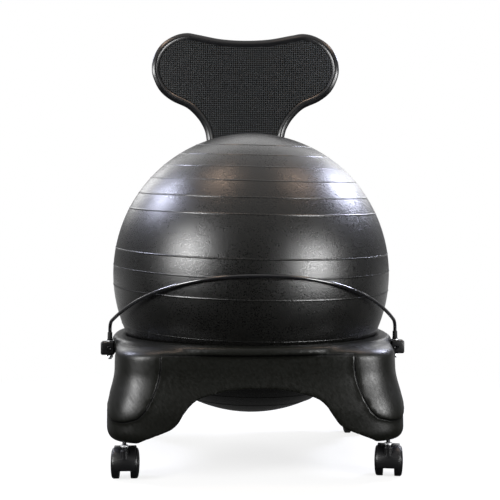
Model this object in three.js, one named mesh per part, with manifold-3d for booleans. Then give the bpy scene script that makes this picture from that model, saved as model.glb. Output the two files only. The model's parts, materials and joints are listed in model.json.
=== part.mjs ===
// Balance ball chair: an inflated ball in a four-legged base on casters, with a guard bar and a back.
// Millimetres, +Z up. The origin lies on the floor, under the middle of the chair's overall length.
// The front of the chair faces -Y, and its right side, seen from the front, faces +X.

import * as THREE from 'three';
import { mergeVertices } from 'three/addons/utils/BufferGeometryUtils.js';
import Module from 'manifold-3d';

const wasm = await Module();
wasm.setup();

// Driving dimensions: the ball
const ballRadius = 250;
const ballWall = 1.4;
const ballTilt = 2.56;
const ballRoll = 1.26;
const ballSegments = 30;
const valveHoleRadius = 4.2;
const valveHeadRadius = 8;
const valveHeadHeight = 1.2;
const valvePlugLength = 14;

// Driving dimensions: the base
const baseTopZ = 222;
const wallHalfWidth = 241;
const topInset = 16;
const wallExponent = 5.4;
const topExponent = 2.6;
const footExponent = 7;
const rollHeight = 22;
const legFlare = 12;
const flareTopZ = 178;
const flareEndZ = 108;
const footRoll = 17;
const footInset = 12;
const apronZ = 153;
const moulding = 4;
const panelInset = 3;
const panelTopZ = 207;
const rimOverhang = 9;
const rimExponent = 2.45;
const rimRound = 9;
const shieldBottomZ = 98;
const seatEdgeDepth = 12.573;
const seatEdgeRound = 12;

// Driving dimensions: the casters
const casterSideInset = 24.6;
const casterEndInset = 34;
const casterTrail = 20;
const casterSwivel = 12;
const rearSwivel = 180;
const wheelRadius = 25;
const wheelGap = 19;
const casterWidth = 47;
const treadWidth = 9.5;
const treadEdge = 1;
const hoodClearance = 0.9;
const hoodWidth = 36;
const hoodFrontZ = 17;
const hoodWall = 2.6;
const hoodNotchWidth = 12;
const hoodNotchDepth = 4.5;
const axleRadius = 3;
const axleGrip = 8.5;
const stemRadius = 3.2;
const stemFootDrop = 1;
const stemCollarRadius = 6.6;
const stemCollarHeight = 1.6;
const stemCollarClearance = 2.5;
const stemCollarDepth = 7.4;
const stemBossRadius = 6.8;
const stemBossDrop = 3.5;
const socketWall = 1.6;
const socketFlangeRadius = 8;
const socketFlange = 1.4;
const socketBossWall = 4;
const socketLength = 36;
const brakeWidth = 16;
const brakePedal = 15;
const brakeThickness = 3;
const brakeHubRadius = 3.2;
const brakePinRadius = 1.4;
const brakeEar = 4;
const brakeAngle = 35;
const brakeRise = 20;
const brakeClearance = 1;

// Driving dimensions: the guard bar
const barRadius = 3;
const barStandOff = 8.7;
const barPivotY = -83;
const barPivotZ = 203;
const barShoulderZ = 247;
const barApexZ = 336;
const barBend = 11;
const barEndBelow = 3;
const blockWidth = 24;
const blockDepth = 20;
const blockHeight = 23.4;
const blockEdge = 3;
const trunnionRadius = 6;
const trunnionLength = 17;
const bushWall = 2;
const bushLength = 15;
const sleeveRadius = 4;
const sleeveLength = 14;
const washerRadius = 7;
const washerThickness = 1.2;
const nutFlats = 10;
const nutHeight = 4.6;
const clampHeadRadius = 4.5;
const clampHeadDepth = 2.5;
const clampShankRadius = 2;

// Driving dimensions: the back and its frame
const backTopZ = 808;
const backBottomZ = 545;
const backHalfWidth = 190.6;
const backThickness = 5;
const backCurve = 620;
const backLean = 3;
const backRimRadius = 6.5;
const backPanelThickness = 2;
const backPadRadius = 8;
const tubeRadius = 11;
const tubeWall = 1.8;
const tubeHalfSpan = 58;
const tubeFootZ = 160;
const tubeBendZ = 215;
const tubeTopZ = 748;
const tubeCapHead = 3;
const tubeCapLength = 9;
const frameBoltZs = [174, 198];
const frameBoltReach = 6;
const backScrewZs = [590, 672];
const screwRadius = 2.5;
const screwHeadRadius = 5.2;
const screwHeadHeight = 3.2;

// Sides of small round pieces, and steps along curves
const rodSides = 12;
const screwSides = 8;
const boreSides = 6;
const nutSides = 6;
const rimSides = 8;
const wheelSides = 20;
const seatSides = 48;
const hollowSeatSides = 32;
const seatSteps = 4;
const edgeSteps = 3;
const hoodSteps = 8;
const blockEdgeSteps = 3;
const barBendSteps = 4;
const barSweepSteps = 12;
const archSteps = 8;
const backCurveSteps = 12;
const outlineSteps = 50;

// Shared clearances: faces that touch, turning fits, the overrun of a cut past a face, and points that merge
const gap = 0.3;
const turning = 0.35;
const overrun = 2;
const mergeReach = 1e-4;

// Tables of shares, chosen by hand
// The foot and the edge of the ball's seat: shares of the ball's radius
const seatShares = [0.8, 0.88];
// The underside arch between two legs: share of the half width, share of apronZ - legBottomZ
const archShares = [
  [0, 1], [0.17, 0.97], [0.332, 0.88], [0.412, 0.793], [0.452, 0.7], [0.492, 0.57], [0.532, 0.39],
  [0.572, 0.29], [0.612, 0.235], [0.69, 0.15], [0.775, 0.05], [0.82, 0],
];
// The edge of the raised shell on a leg: share of the half width, share of panelTopZ - shieldBottomZ
const shieldShares = [
  [0.651, 1], [0.651, 0.82], [0.66, 0.66], [0.68, 0.51], [0.71, 0.35], [0.757, 0.17], [0.806, 0.075],
  [0.89, 0.02], [1.1, 0],
];
// The outer face of the rim: share of rimRound inwards, share of the way from panelTopZ to baseTopZ
const rimShares = [[0.2, 0], [0, 0.12], [0.03, 0.55], [0.36, 0.86], [1, 1]];
// The outline of the back, from the middle of its top to the middle of its foot
const backShares = [
  [0, 0.952], [0.262, 0.961], [0.502, 0.989], [0.632, 0.999], [0.762, 0.972], [0.892, 0.905],
  [0.976, 0.806], [1, 0.696], [0.968, 0.605], [0.902, 0.525], [0.787, 0.462], [0.627, 0.411],
  [0.525, 0.344], [0.462, 0.278], [0.427, 0.213], [0.409, 0.114], [0.39, 0.035], [0.31, 0], [0.12, 0],
];
// The guard bar's curve in its own sloping plane: shares of barEndX and of the reach to its apex
const barHandleShares = [[0.781, 0.647], [0.481, 1]];
// The domed outer face of a wheel: share of its radius, share of the way from tread to outer face
const domeShares = [[1, 0], [0.9, 0.64], [0.62, 0.93], [0, 1]];
// The shoulder of a domed screw head: share of its radius, share of its height
const screwDomeShare = [0.9, 0.6];
// The tip of the valve plug against its root, and the slope past which sections turn to another axis
const plugTipShare = 0.8;
const steepShare = 0.9;
// Directions in an eighth of the base, closer together at the corner, and its levels from foot to top
const octantShares = [0, 0.3, 0.56, 0.76, 0.88, 0.96];
const hollowOctantShares = [0, 0.5, 0.8];
const levelShares = [0, 0.012, 0.045, 0.108, 0.2, 0.32, 0.46, 0.64, 0.86, 0.94, 1];
const hollowLevelShares = [0, 0.1, 0.35, 0.7, 0.9, 1];

// Places that follow from the sizes above
const hoodRadius = wheelRadius + hoodClearance + hoodWall;
const hoodTopZ = wheelRadius + hoodRadius;
const stemFootZ = wheelRadius - stemFootDrop;
const stemBossTopZ = hoodTopZ - stemBossDrop;
const stemCollarZ = hoodTopZ + stemCollarClearance;
const legBottomZ = stemCollarZ + stemCollarHeight + stemCollarDepth;
const topHalfWidth = wallHalfWidth - topInset;
const rimHalfWidth = wallHalfWidth + rimOverhang;
const casterX = wallHalfWidth - casterSideInset;
const casterY = wallHalfWidth - casterEndInset;
const barEndX = wallHalfWidth + barStandOff;
const [seatBottomRadius, seatEdgeRadius] = seatShares.map((share) => share * ballRadius);
const rimInnerRadius = seatEdgeRadius + seatEdgeRound;
const ballCentreZ = baseTopZ - seatEdgeDepth + Math.sqrt((ballRadius + gap) ** 2 - seatEdgeRadius ** 2);

// Materials
const finish = (color, roughness, metalness = 0) =>
  new THREE.MeshStandardMaterial({ color, roughness, metalness });
const mouldedBlack = finish(0x1b1c1e, 0.5);
const ballVinyl = finish(0x1c1c1d, 0.42);
const panelBlack = finish(0x17181a, 0.65);
const blackEnamel = finish(0x0f0f10, 0.3, 0.1);
const casterNylon = finish(0x161616, 0.6);
const zincSteel = finish(0xb4b6b8, 0.35, 1);
const darkRubber = finish(0x101010, 0.8);

const chair = new THREE.Group();

// Geometry helpers

function add(name, geometry, material, parent = chair) {
  const mesh = new THREE.Mesh(geometry, material);
  mesh.name = name;
  parent.add(mesh);
  return mesh;
}

// A closed geometry as a solid, turned so that its faces point out
function solidOf(geometry) {
  const bare = geometry.clone();
  bare.deleteAttribute('normal');
  bare.deleteAttribute('uv');
  const merged = mergeVertices(bare, mergeReach);
  const vertices = merged.attributes.position.array;
  const triangles = Uint32Array.from(merged.index.array);
  const corner = (k) => new THREE.Vector3().fromArray(vertices, 3 * triangles[k]);
  let volume = 0;
  for (let k = 0; k < triangles.length; k += 3) {
    volume += corner(k).dot(corner(k + 1).cross(corner(k + 2)));
  }
  if (volume < 0) triangles.reverse();
  const vertProperties = Float32Array.from(vertices);
  const mesh = new wasm.Mesh({ numProp: 3, vertProperties, triVerts: triangles });
  mesh.merge();
  return new wasm.Manifold(mesh);
}

function geometryOf(solid) {
  const mesh = solid.getMesh();
  const geometry = new THREE.BufferGeometry();
  geometry.setAttribute('position', new THREE.BufferAttribute(mesh.vertProperties.slice(), 3));
  geometry.setIndex(new THREE.BufferAttribute(mesh.triVerts.slice(), 1));
  return geometry;
}

const joined = (...solids) => solids.reduce((whole, solid) => whole.add(solid));
const cut = (solid, ...tools) => tools.reduce((rest, tool) => rest.subtract(tool), solid);

// A profile of [radius, height] points turned about Z
function turned(profile, segments) {
  const points = profile.map(([radius, height]) => new THREE.Vector2(radius, height));
  return new THREE.LatheGeometry(points, segments).rotateX(Math.PI / 2);
}

// A cylinder along Z from low to high
function rod(radius, low, high, segments = rodSides) {
  return turned([[0, low], [radius, low], [radius, high], [0, high]], segments);
}

// A tube along Z from low to high
function sleeve(inner, outer, low, high, segments = rodSides) {
  return turned([[inner, low], [outer, low], [outer, high], [inner, high], [inner, low]], segments);
}

const alongX = (geometry) => geometry.rotateY(Math.PI / 2);
const alongY = (geometry) => geometry.rotateX(-Math.PI / 2);
const moved = (geometry, x, y, z) => geometry.translate(x, y, z);

function shapeOf(points) {
  return new THREE.Shape(points.map(([across, up]) => new THREE.Vector2(across, up)));
}

// A shape drawn in X and Z, carried along Y from front to rear
function prismAlongY(shape, front, rear) {
  const geometry = new THREE.ExtrudeGeometry(shape, { depth: rear - front, bevelEnabled: false });
  return geometry.rotateX(Math.PI / 2).translate(0, rear, 0);
}

// The turn that lays a shape drawn in X and Y into Y and Z
const crosswise = new THREE.Matrix4().makeBasis(
  new THREE.Vector3(0, 1, 0), new THREE.Vector3(0, 0, 1), new THREE.Vector3(1, 0, 0));

// A shape drawn in Y and Z, carried along X from left to right
function prismAlongX(shape, left, right) {
  const geometry = new THREE.ExtrudeGeometry(shape, { depth: right - left, bevelEnabled: false });
  return geometry.applyMatrix4(crosswise).translate(left, 0, 0);
}

// A block with rounded upright edges
function block(width, depth, height, edge) {
  const x = width / 2;
  const y = depth / 2;
  const shape = new THREE.Shape();
  shape.moveTo(-x + edge, -y);
  shape.lineTo(x - edge, -y);
  shape.quadraticCurveTo(x, -y, x, -y + edge);
  shape.lineTo(x, y - edge);
  shape.quadraticCurveTo(x, y, x - edge, y);
  shape.lineTo(-x + edge, y);
  shape.quadraticCurveTo(-x, y, -x, y - edge);
  shape.lineTo(-x, -y + edge);
  shape.quadraticCurveTo(-x, -y, -x + edge, -y);
  const options = { depth: height, bevelEnabled: false, curveSegments: blockEdgeSteps };
  return new THREE.ExtrudeGeometry(shape, options).translate(0, 0, -height / 2);
}

// A solid through rings of points: capped at both ends, or run round to the first ring
function ringSolid(rings, looped = false) {
  const count = rings[0].length;
  const positions = rings.flat().flatMap((point) => [point.x, point.y, point.z]);
  const index = [];
  const steps = looped ? rings.length : rings.length - 1;
  for (let i = 0; i < steps; i += 1) {
    const low = i * count;
    const high = ((i + 1) % rings.length) * count;
    for (let j = 0; j < count; j += 1) {
      const next = (j + 1) % count;
      index.push(low + j, low + next, high + next, low + j, high + next, high + j);
    }
  }
  if (!looped) {
    [0, rings.length - 1].forEach((ring) => {
      const middle = positions.length / 3;
      const centre = rings[ring].reduce((sum, point) => sum.add(point), new THREE.Vector3());
      positions.push(...centre.divideScalar(count).toArray());
      for (let j = 0; j < count; j += 1) {
        const here = ring * count + j;
        const next = ring * count + (j + 1) % count;
        index.push(...(ring === 0 ? [middle, next, here] : [middle, here, next]));
      }
    });
  }
  const geometry = new THREE.BufferGeometry();
  geometry.setAttribute('position', new THREE.Float32BufferAttribute(positions, 3));
  geometry.setIndex(index);
  return geometry;
}

// Rings of a round section along a path of points, each square to the path
function sectionRings(path, radius, sides, looped = false) {
  const count = path.length;
  return path.map((point, i) => {
    const before = looped ? path[(i + count - 1) % count] : path[Math.max(i - 1, 0)];
    const after = looped ? path[(i + 1) % count] : path[Math.min(i + 1, count - 1)];
    const along = after.clone().sub(before).normalize();
    const reference = new THREE.Vector3(0, 1, 0);
    if (Math.abs(along.y) > steepShare) reference.set(1, 0, 0);
    const side = reference.clone().cross(along).normalize();
    const up = along.clone().cross(side);
    return Array.from({ length: sides }, (_, k) => {
      const turn = (2 * Math.PI * (k + 0.5)) / sides;
      return point.clone()
        .addScaledVector(side, radius * Math.cos(turn))
        .addScaledVector(up, radius * Math.sin(turn));
    });
  });
}

const degrees = THREE.MathUtils.degToRad;
const lerp = THREE.MathUtils.lerp;

// A line of 2-D points moved to the left of its direction by a distance
function offsetLine(line, distance, closed) {
  const count = line.length;
  return line.map((point, i) => {
    const before = closed ? line[(i + count - 1) % count] : line[Math.max(i - 1, 0)];
    const after = closed ? line[(i + 1) % count] : line[Math.min(i + 1, count - 1)];
    const along = after.clone().sub(before).normalize();
    return new THREE.Vector2(point.x - along.y * distance, point.y + along.x * distance);
  });
}

// Base

// Half width and exponent of the base's outline at a height: squarer and wider in the legs than on top
function baseOutline(z) {
  const rollZ = baseTopZ - rollHeight;
  const footZ = legBottomZ + footRoll;
  const flare = THREE.MathUtils.smoothstep(flareTopZ - z, 0, flareTopZ - flareEndZ);
  const down = THREE.MathUtils.clamp((rollZ - z) / (rollZ - footZ), 0, 1);
  const curl = THREE.MathUtils.clamp((footZ - z) / footRoll, 0, 1);
  return {
    half: wallHalfWidth + legFlare * flare - footInset * (1 - Math.sqrt(1 - curl * curl)),
    exponent: lerp(wallExponent, footExponent, down),
  };
}

function superRadius(angle, half, exponent) {
  const across = Math.abs(Math.cos(angle)) ** exponent;
  const along = Math.abs(Math.sin(angle)) ** exponent;
  return half / (across + along) ** (1 / exponent);
}

// The outline rolls over to the rounder one of the top face
function baseRadius(angle, z) {
  const wall = baseOutline(z);
  const rise = THREE.MathUtils.clamp((z - (baseTopZ - rollHeight)) / rollHeight, 0, 1);
  const over = 1 - Math.sqrt(1 - rise * rise);
  return lerp(superRadius(angle, wall.half, wall.exponent),
    superRadius(angle, topHalfWidth, topExponent), over);
}

function baseAngles(shares) {
  const upTo = shares.map((share) => share * Math.PI / 4);
  const downFrom = shares.slice(1).reverse().map((share) => Math.PI / 2 - share * Math.PI / 4);
  const quarter = [...upTo, Math.PI / 4, ...downFrom];
  return [0, 1, 2, 3].flatMap((turn) => quarter.map((angle) => angle + turn * Math.PI / 2));
}

// The body inside the outline, drawn in by sideInset round it and by endInset above and below
function baseBody(sideInset, endInset, octants, levels) {
  const angles = baseAngles(octants);
  return solidOf(ringSolid(levels.map((share) => {
    const z = lerp(legBottomZ, baseTopZ, share);
    const height = lerp(legBottomZ + endInset, baseTopZ - endInset, share);
    return angles.map((angle) => {
      const radius = baseRadius(angle, z) - sideInset;
      return new THREE.Vector3(radius * Math.cos(angle), radius * Math.sin(angle), height);
    });
  })));
}

// The rim round the ball, rounder than the walls that carry it
function seatRim() {
  const angles = baseAngles(octantShares);
  return solidOf(ringSolid(rimShares.map(([inward, up]) => {
    const z = lerp(panelTopZ, baseTopZ, up);
    return angles.map((angle) => {
      const radius = superRadius(angle, rimHalfWidth, rimExponent) - inward * rimRound;
      return new THREE.Vector3(radius * Math.cos(angle), radius * Math.sin(angle), z);
    });
  })));
}

// The ball's seat and the opening under it, wider by inset
function seatOpening(inset, steps) {
  const reach = ballRadius + gap + inset;
  const seatZ = (radius) => ballCentreZ - Math.sqrt(reach * reach - radius * radius);
  const outward = 1 / Math.cos(Math.PI / steps);
  const bottom = legBottomZ - overrun;
  const points = [[0, bottom], [seatBottomRadius + inset, bottom]];
  for (let i = 0; i <= seatSteps; i += 1) {
    const radius = lerp(seatBottomRadius, seatEdgeRadius, i / seatSteps) + inset;
    points.push([radius * outward, seatZ(radius)]);
  }
  const start = new THREE.Vector2(...points[points.length - 1]);
  const top = new THREE.Vector2(rimInnerRadius + inset, baseTopZ - inset);
  const between = new THREE.Vector2((start.x + top.x) / 2, top.y);
  const edge = new THREE.QuadraticBezierCurve(start, between, top).getPoints(edgeSteps).slice(1);
  points.push(...edge.map((point) => [point.x, point.y]));
  points.push([rimInnerRadius + inset, baseTopZ + overrun], [0, baseTopZ + overrun]);
  return solidOf(turned(points, steps));
}

// The arch seen from a side, as a closed shape under its line, which inset moves outwards
function archShape(inset) {
  const half = archShares.map(([across, up]) =>
    new THREE.Vector2(across * wallHalfWidth, lerp(legBottomZ, apronZ, up)));
  const line = [...half.slice(1).reverse().map((point) => new THREE.Vector2(-point.x, point.y)), ...half];
  const shifted = offsetLine(line, inset, false);
  const floor = legBottomZ - overrun;
  const outer = shifted[shifted.length - 1].x;
  return shapeOf([[-outer, floor], ...shifted.map((point) => [point.x, point.y]), [outer, floor]]);
}

const baseReach = wallHalfWidth + legFlare + overrun;
// The reach of a block's corners as it swings about its trunnion
const blockSweep = Math.hypot(blockDepth, blockHeight) / 2 + 2 * gap;

function archPassages(inset) {
  return joined(
    solidOf(prismAlongY(archShape(inset), -baseReach, baseReach)),
    solidOf(prismAlongX(archShape(inset), -baseReach, baseReach)));
}

// The space of the raised corner shells: outside the shield edge in both side views
function cornerSpace() {
  const edge = shieldShares.map(([across, up]) =>
    [across * wallHalfWidth, lerp(shieldBottomZ, panelTopZ, up)]);
  const right = [...edge, [edge[edge.length - 1][0], panelTopZ]];
  const left = right.map(([across, up]) => [-across, up]);
  const seen = (prism) => joined(
    solidOf(prism(shapeOf(right), -baseReach, baseReach)),
    solidOf(prism(shapeOf(left), -baseReach, baseReach)));
  return seen(prismAlongY).intersect(seen(prismAlongX));
}

const sides = [['left', -1], ['right', 1]];
// Each caster: its name, the signs of its X and Y, and how far it has swivelled
const casterSpots = [
  ['front_left', -1, -1, 0], ['front_right', 1, -1, -casterSwivel],
  ['rear_left', -1, 1, rearSwivel], ['rear_right', 1, 1, rearSwivel],
];
const socketRadius = stemRadius + turning + socketWall;
const socketTopZ = legBottomZ + socketLength;
const bushRadius = trunnionRadius + turning + bushWall;
const tubeFootY = wallHalfWidth + gap + tubeRadius;
const tubeSeat = (tubeRadius + gap) / Math.cos(Math.PI / rodSides);

function seatBase() {
  const plain = baseBody(panelInset, 0, octantShares, levelShares);
  const proud = baseBody(0, 0, octantShares, levelShares);
  const rimBand = solidOf(moved(new THREE.BoxGeometry(2 * baseReach, 2 * baseReach, baseTopZ), 0, 0,
    panelTopZ + baseTopZ / 2));
  const hollow = cut(baseBody(moulding + panelInset, moulding, hollowOctantShares, hollowLevelShares),
    seatOpening(moulding, hollowSeatSides), archPassages(moulding));
  let body = joined(plain, proud.intersect(joined(cornerSpace(), rimBand)), seatRim());
  body = cut(body, seatOpening(0, seatSides), archPassages(0), hollow);
  casterSpots.forEach(([, x, y]) => {
    const at = (geometry) => solidOf(moved(geometry, x * casterX, y * casterY, 0));
    const boss = rod(socketRadius + socketBossWall, legBottomZ + moulding, socketTopZ);
    const bore = rod(socketRadius + gap, legBottomZ - overrun, socketTopZ + overrun);
    const flangeSeat = rod(socketFlangeRadius + gap, legBottomZ - overrun, legBottomZ + socketFlange + gap);
    body = cut(joined(body, at(boss)), at(bore), at(flangeSeat));
  });
  sides.forEach(([, side]) => {
    const at = (geometry) => solidOf(moved(alongX(geometry), 0, barPivotY, barPivotZ));
    const inner = side * (wallHalfWidth - bushLength - moulding);
    const outer = side * wallHalfWidth;
    const boss = rod(bushRadius + moulding, Math.min(inner, outer), Math.max(inner, outer));
    const mouth = outer + side * overrun;
    const end = inner - side * overrun;
    const bore = rod(bushRadius + gap, Math.min(end, mouth), Math.max(end, mouth));
    const recessEnd = side * (rimHalfWidth + overrun);
    const recess = rod(blockSweep, Math.min(outer, recessEnd), Math.max(outer, recessEnd));
    body = cut(joined(body, cut(at(boss), seatOpening(moulding / 2, seatSides))), at(bore), at(recess));
  });
  sides.forEach(([, side]) => {
    const recess = rod(tubeSeat, panelTopZ - overrun, baseTopZ + overrun);
    body = cut(body, solidOf(moved(recess, side * tubeHalfSpan, tubeFootY, 0)));
  });
  sides.forEach(([, side]) => frameBoltZs.forEach((z) => {
    const inside = wallHalfWidth - 2 * moulding;
    const bore = rod(screwRadius + 2 * gap, inside, wallHalfWidth + overrun, boreSides);
    body = cut(body, solidOf(moved(alongY(bore), side * tubeHalfSpan, 0, z)));
  }));
  return body;
}

add('seat_base', geometryOf(seatBase()), mouldedBlack);

// Ball, turned a little about its centre as it lies in the seat, with its valve at the lower pole
const ball = new THREE.Group();
ball.position.z = ballCentreZ;
ball.rotation.set(degrees(ballTilt), degrees(ballRoll), 0);
chair.add(ball);

function ballShell() {
  const rings = ballSegments / 2;
  const sphere = (radius) => {
    const points = Array.from({ length: rings + 1 }, (_, i) => {
      const angle = -Math.PI / 2 + (i * Math.PI) / rings;
      return [i % rings === 0 ? 0 : radius * Math.cos(angle), radius * Math.sin(angle)];
    });
    return solidOf(turned(points, ballSegments));
  };
  const hole = rod(valveHoleRadius, -ballRadius - overrun, -ballRadius + valvePlugLength);
  const seat = rod(valveHeadRadius + gap, -ballRadius - overrun, -ballRadius + valveHeadHeight + gap);
  const collar = rod(valveHeadRadius + ballWall, -ballRadius + ballWall / 2,
    -ballRadius + valveHeadHeight + 2 * ballWall);
  return cut(joined(cut(sphere(ballRadius), sphere(ballRadius - ballWall)), solidOf(collar)),
    solidOf(hole), solidOf(seat));
}

function valvePlug() {
  const face = -ballRadius + gap;
  const root = valveHoleRadius - gap;
  return turned([
    [0, face], [valveHeadRadius, face], [valveHeadRadius, face + valveHeadHeight - gap],
    [root, face + valveHeadHeight - gap], [root * plugTipShare, face + valvePlugLength],
    [0, face + valvePlugLength],
  ], rodSides);
}

add('ball_shell', geometryOf(ballShell()), ballVinyl, ball);
add('valve_plug', valvePlug(), darkRubber, ball);

// Casters, each drawn with its stem on the origin and its wheels behind it
const axleAt = { y: casterTrail, z: wheelRadius };
const webHalf = wheelGap / 2 - 2 * gap;
const axleEnd = wheelGap / 2 + axleGrip;

// The brake's hub stands outside the hood's band, clear of the wheels
const brakeReach = wheelRadius + brakeClearance + brakeHubRadius;
const brakeAt = {
  y: axleAt.y + brakeReach * Math.cos(degrees(brakeAngle)),
  z: axleAt.z + brakeReach * Math.sin(degrees(brakeAngle)),
};

function casterHood(braked) {
  const dip = Math.asin((wheelRadius - hoodFrontZ) / hoodRadius);
  const arc = (shape, radius, start, end, clockwise) =>
    shape.absarc(axleAt.y, axleAt.z, radius, start, end, clockwise);
  const band = arc(new THREE.Shape(), hoodRadius, -dip, Math.PI + dip, false);
  arc(band, hoodRadius - hoodWall, Math.PI + dip, -dip, true);
  const web = arc(new THREE.Shape(), hoodRadius - hoodWall / 2, -dip, Math.PI + dip, false);
  const prism = (shape, half) => {
    const options = { depth: 2 * half, bevelEnabled: false, curveSegments: hoodSteps };
    const geometry = new THREE.ExtrudeGeometry(shape, options).applyMatrix4(crosswise);
    return solidOf(geometry.translate(-half, 0, 0));
  };
  const notch = shapeOf([
    [-hoodNotchWidth / 2, hoodTopZ + overrun], [-hoodNotchWidth / 2, hoodTopZ],
    [0, hoodTopZ - hoodNotchDepth], [hoodNotchWidth / 2, hoodTopZ], [hoodNotchWidth / 2, hoodTopZ + overrun],
  ]);
  let hood = joined(prism(band, hoodWidth / 2), prism(web, webHalf),
    solidOf(rod(stemBossRadius, stemFootZ - 2 * hoodWall, stemBossTopZ)));
  const axleBore = alongX(rod(axleRadius + gap, -webHalf - overrun, webHalf + overrun));
  hood = cut(hood,
    solidOf(prismAlongY(notch, axleAt.y - hoodRadius / 2, axleAt.y + hoodRadius)),
    solidOf(rod(stemRadius + gap, stemFootZ - gap, hoodTopZ + overrun)),
    solidOf(moved(axleBore, 0, axleAt.y, axleAt.z)));
  if (!braked) return hood;
  const at = (geometry) => solidOf(moved(alongX(geometry), 0, brakeAt.y, brakeAt.z));
  const ears = brakeWidth / 2 + brakeEar;
  return cut(joined(hood, at(rod(brakeHubRadius, -ears, ears))),
    at(rod(brakeHubRadius + 2 * gap, -brakeWidth / 2 - gap, brakeWidth / 2 + gap)),
    at(rod(brakePinRadius + gap, -ears - overrun, ears + overrun)));
}

function brakeLever() {
  const hub = solidOf(alongX(rod(brakeHubRadius, -brakeWidth / 2, brakeWidth / 2)));
  const pedal = moved(new THREE.BoxGeometry(brakeWidth, brakePedal, brakeThickness), 0, brakePedal / 2, 0);
  const bore = solidOf(alongX(rod(brakePinRadius + turning, -brakeWidth, brakeWidth)));
  const lever = cut(joined(hub, solidOf(pedal.rotateX(degrees(brakeRise)))), bore);
  return moved(geometryOf(lever), 0, brakeAt.y, brakeAt.z);
}

function brakePin() {
  const half = brakeWidth / 2 + brakeEar;
  return moved(alongX(rod(brakePinRadius, -half, half)), 0, brakeAt.y, brakeAt.z);
}

function casterStem() {
  return turned([
    [0, stemFootZ], [stemRadius, stemFootZ], [stemRadius, stemCollarZ], [stemCollarRadius, stemCollarZ],
    [stemCollarRadius, stemCollarZ + stemCollarHeight], [stemRadius, stemCollarZ + stemCollarHeight],
    [stemRadius, socketTopZ - overrun], [0, socketTopZ - gap],
  ], rodSides);
}

function casterWheel(side) {
  const inner = wheelGap / 2;
  const outer = casterWidth / 2;
  const bore = axleRadius + turning;
  const wheel = turned([
    [0, axleEnd + gap], [bore, axleEnd + gap], [bore, inner], [wheelRadius - treadEdge, inner],
    [wheelRadius, inner + treadEdge],
    ...domeShares.map(([across, out]) => [across * wheelRadius, lerp(inner + treadWidth, outer, out)]),
  ], wheelSides);
  return moved(alongX(wheel).rotateZ(side > 0 ? 0 : Math.PI), 0, axleAt.y, axleAt.z);
}

casterSpots.forEach(([spot, x, y, swivel]) => {
  const caster = new THREE.Group();
  caster.position.set(x * casterX, y * casterY, 0);
  caster.rotation.z = degrees(swivel);
  chair.add(caster);
  const braked = y > 0;
  const socket = turned([
    [stemRadius + turning, legBottomZ], [socketFlangeRadius, legBottomZ],
    [socketFlangeRadius, legBottomZ + socketFlange], [socketRadius, legBottomZ + socketFlange],
    [socketRadius, socketTopZ], [stemRadius + turning, socketTopZ], [stemRadius + turning, legBottomZ],
  ], rodSides);
  add(`caster_socket_${spot}`, moved(socket, x * casterX, y * casterY, 0), zincSteel);
  add(`caster_stem_${spot}`, casterStem(), zincSteel, caster);
  add(`caster_hood_${spot}`, geometryOf(casterHood(braked)), casterNylon, caster);
  add(`caster_axle_${spot}`, moved(alongX(rod(axleRadius, -axleEnd, axleEnd)), 0, axleAt.y, axleAt.z),
    zincSteel, caster);
  sides.forEach(([side, sign]) => {
    add(`caster_wheel_${spot}_${side}`, casterWheel(sign), casterNylon, caster);
  });
  if (braked) {
    add(`brake_lever_${spot}`, brakeLever(), casterNylon, caster);
    add(`brake_pin_${spot}`, brakePin(), zincSteel, caster);
  }
});

// Guard bar: a bent rod through a pivoting block on each side of the base
const blockX = wallHalfWidth + gap + blockWidth / 2;
const blockTopZ = barPivotZ + blockHeight / 2;
const blockBottomZ = barPivotZ - blockHeight / 2;
const barEndZ = blockBottomZ - gap - nutHeight - barEndBelow;
const barApexY = Math.sqrt((ballRadius + barRadius + gap) ** 2 - (barApexZ - ballCentreZ) ** 2);

function barPath() {
  const forward = barApexY + barPivotY;
  const rise = barApexZ - barShoulderZ;
  const reach = Math.hypot(forward, rise);
  const inPlane = (across, along) => new THREE.Vector3(across,
    barPivotY - (along * forward) / reach, barShoulderZ + (along * rise) / reach);
  const handles = barHandleShares.map(([across, along]) => inPlane(across * barEndX, along * reach));
  const shoulder = inPlane(barEndX, 0);
  const leaving = handles[0].clone().sub(shoulder).normalize();
  const below = shoulder.clone().setZ(barShoulderZ - barBend);
  const beyond = shoulder.clone().addScaledVector(leaving, barBend);
  const bend = new THREE.QuadraticBezierCurve3(below, shoulder, beyond);
  const sweep = new THREE.CubicBezierCurve3(beyond, handles[0], handles[1], inPlane(0, reach));
  const half = [shoulder.clone().setZ(barEndZ), ...bend.getPoints(barBendSteps),
    ...sweep.getSpacedPoints(barSweepSteps).slice(1)];
  const mirrored = half.slice(0, -1).map((point) => new THREE.Vector3(-point.x, point.y, point.z));
  return [...mirrored, ...half.reverse()];
}

add('guard_bar', ringSolid(sectionRings(barPath(), barRadius, screwSides)), blackEnamel);

function barBlock(side) {
  const body = moved(block(blockWidth, blockDepth, blockHeight, blockEdge),
    side * blockX, barPivotY, barPivotZ);
  const inner = side * (wallHalfWidth - trunnionLength);
  const face = side * (blockX - blockWidth / 4);
  const trunnion = rod(trunnionRadius, Math.min(inner, face), Math.max(inner, face));
  const bore = rod(barRadius + gap, blockBottomZ - overrun, blockTopZ + overrun);
  const front = barPivotY - blockDepth / 2;
  const headSeat = rod(clampHeadRadius + gap, front - overrun, front + clampHeadDepth + gap);
  const thread = rod(clampShankRadius + 2 * gap, front, barPivotY, boreSides);
  return cut(joined(solidOf(body), solidOf(moved(alongX(trunnion), 0, barPivotY, barPivotZ))),
    solidOf(moved(bore, side * barEndX, barPivotY, 0)),
    solidOf(moved(alongY(headSeat), side * barEndX, 0, barPivotZ)),
    solidOf(moved(alongY(thread), side * barEndX, 0, barPivotZ)));
}

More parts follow.
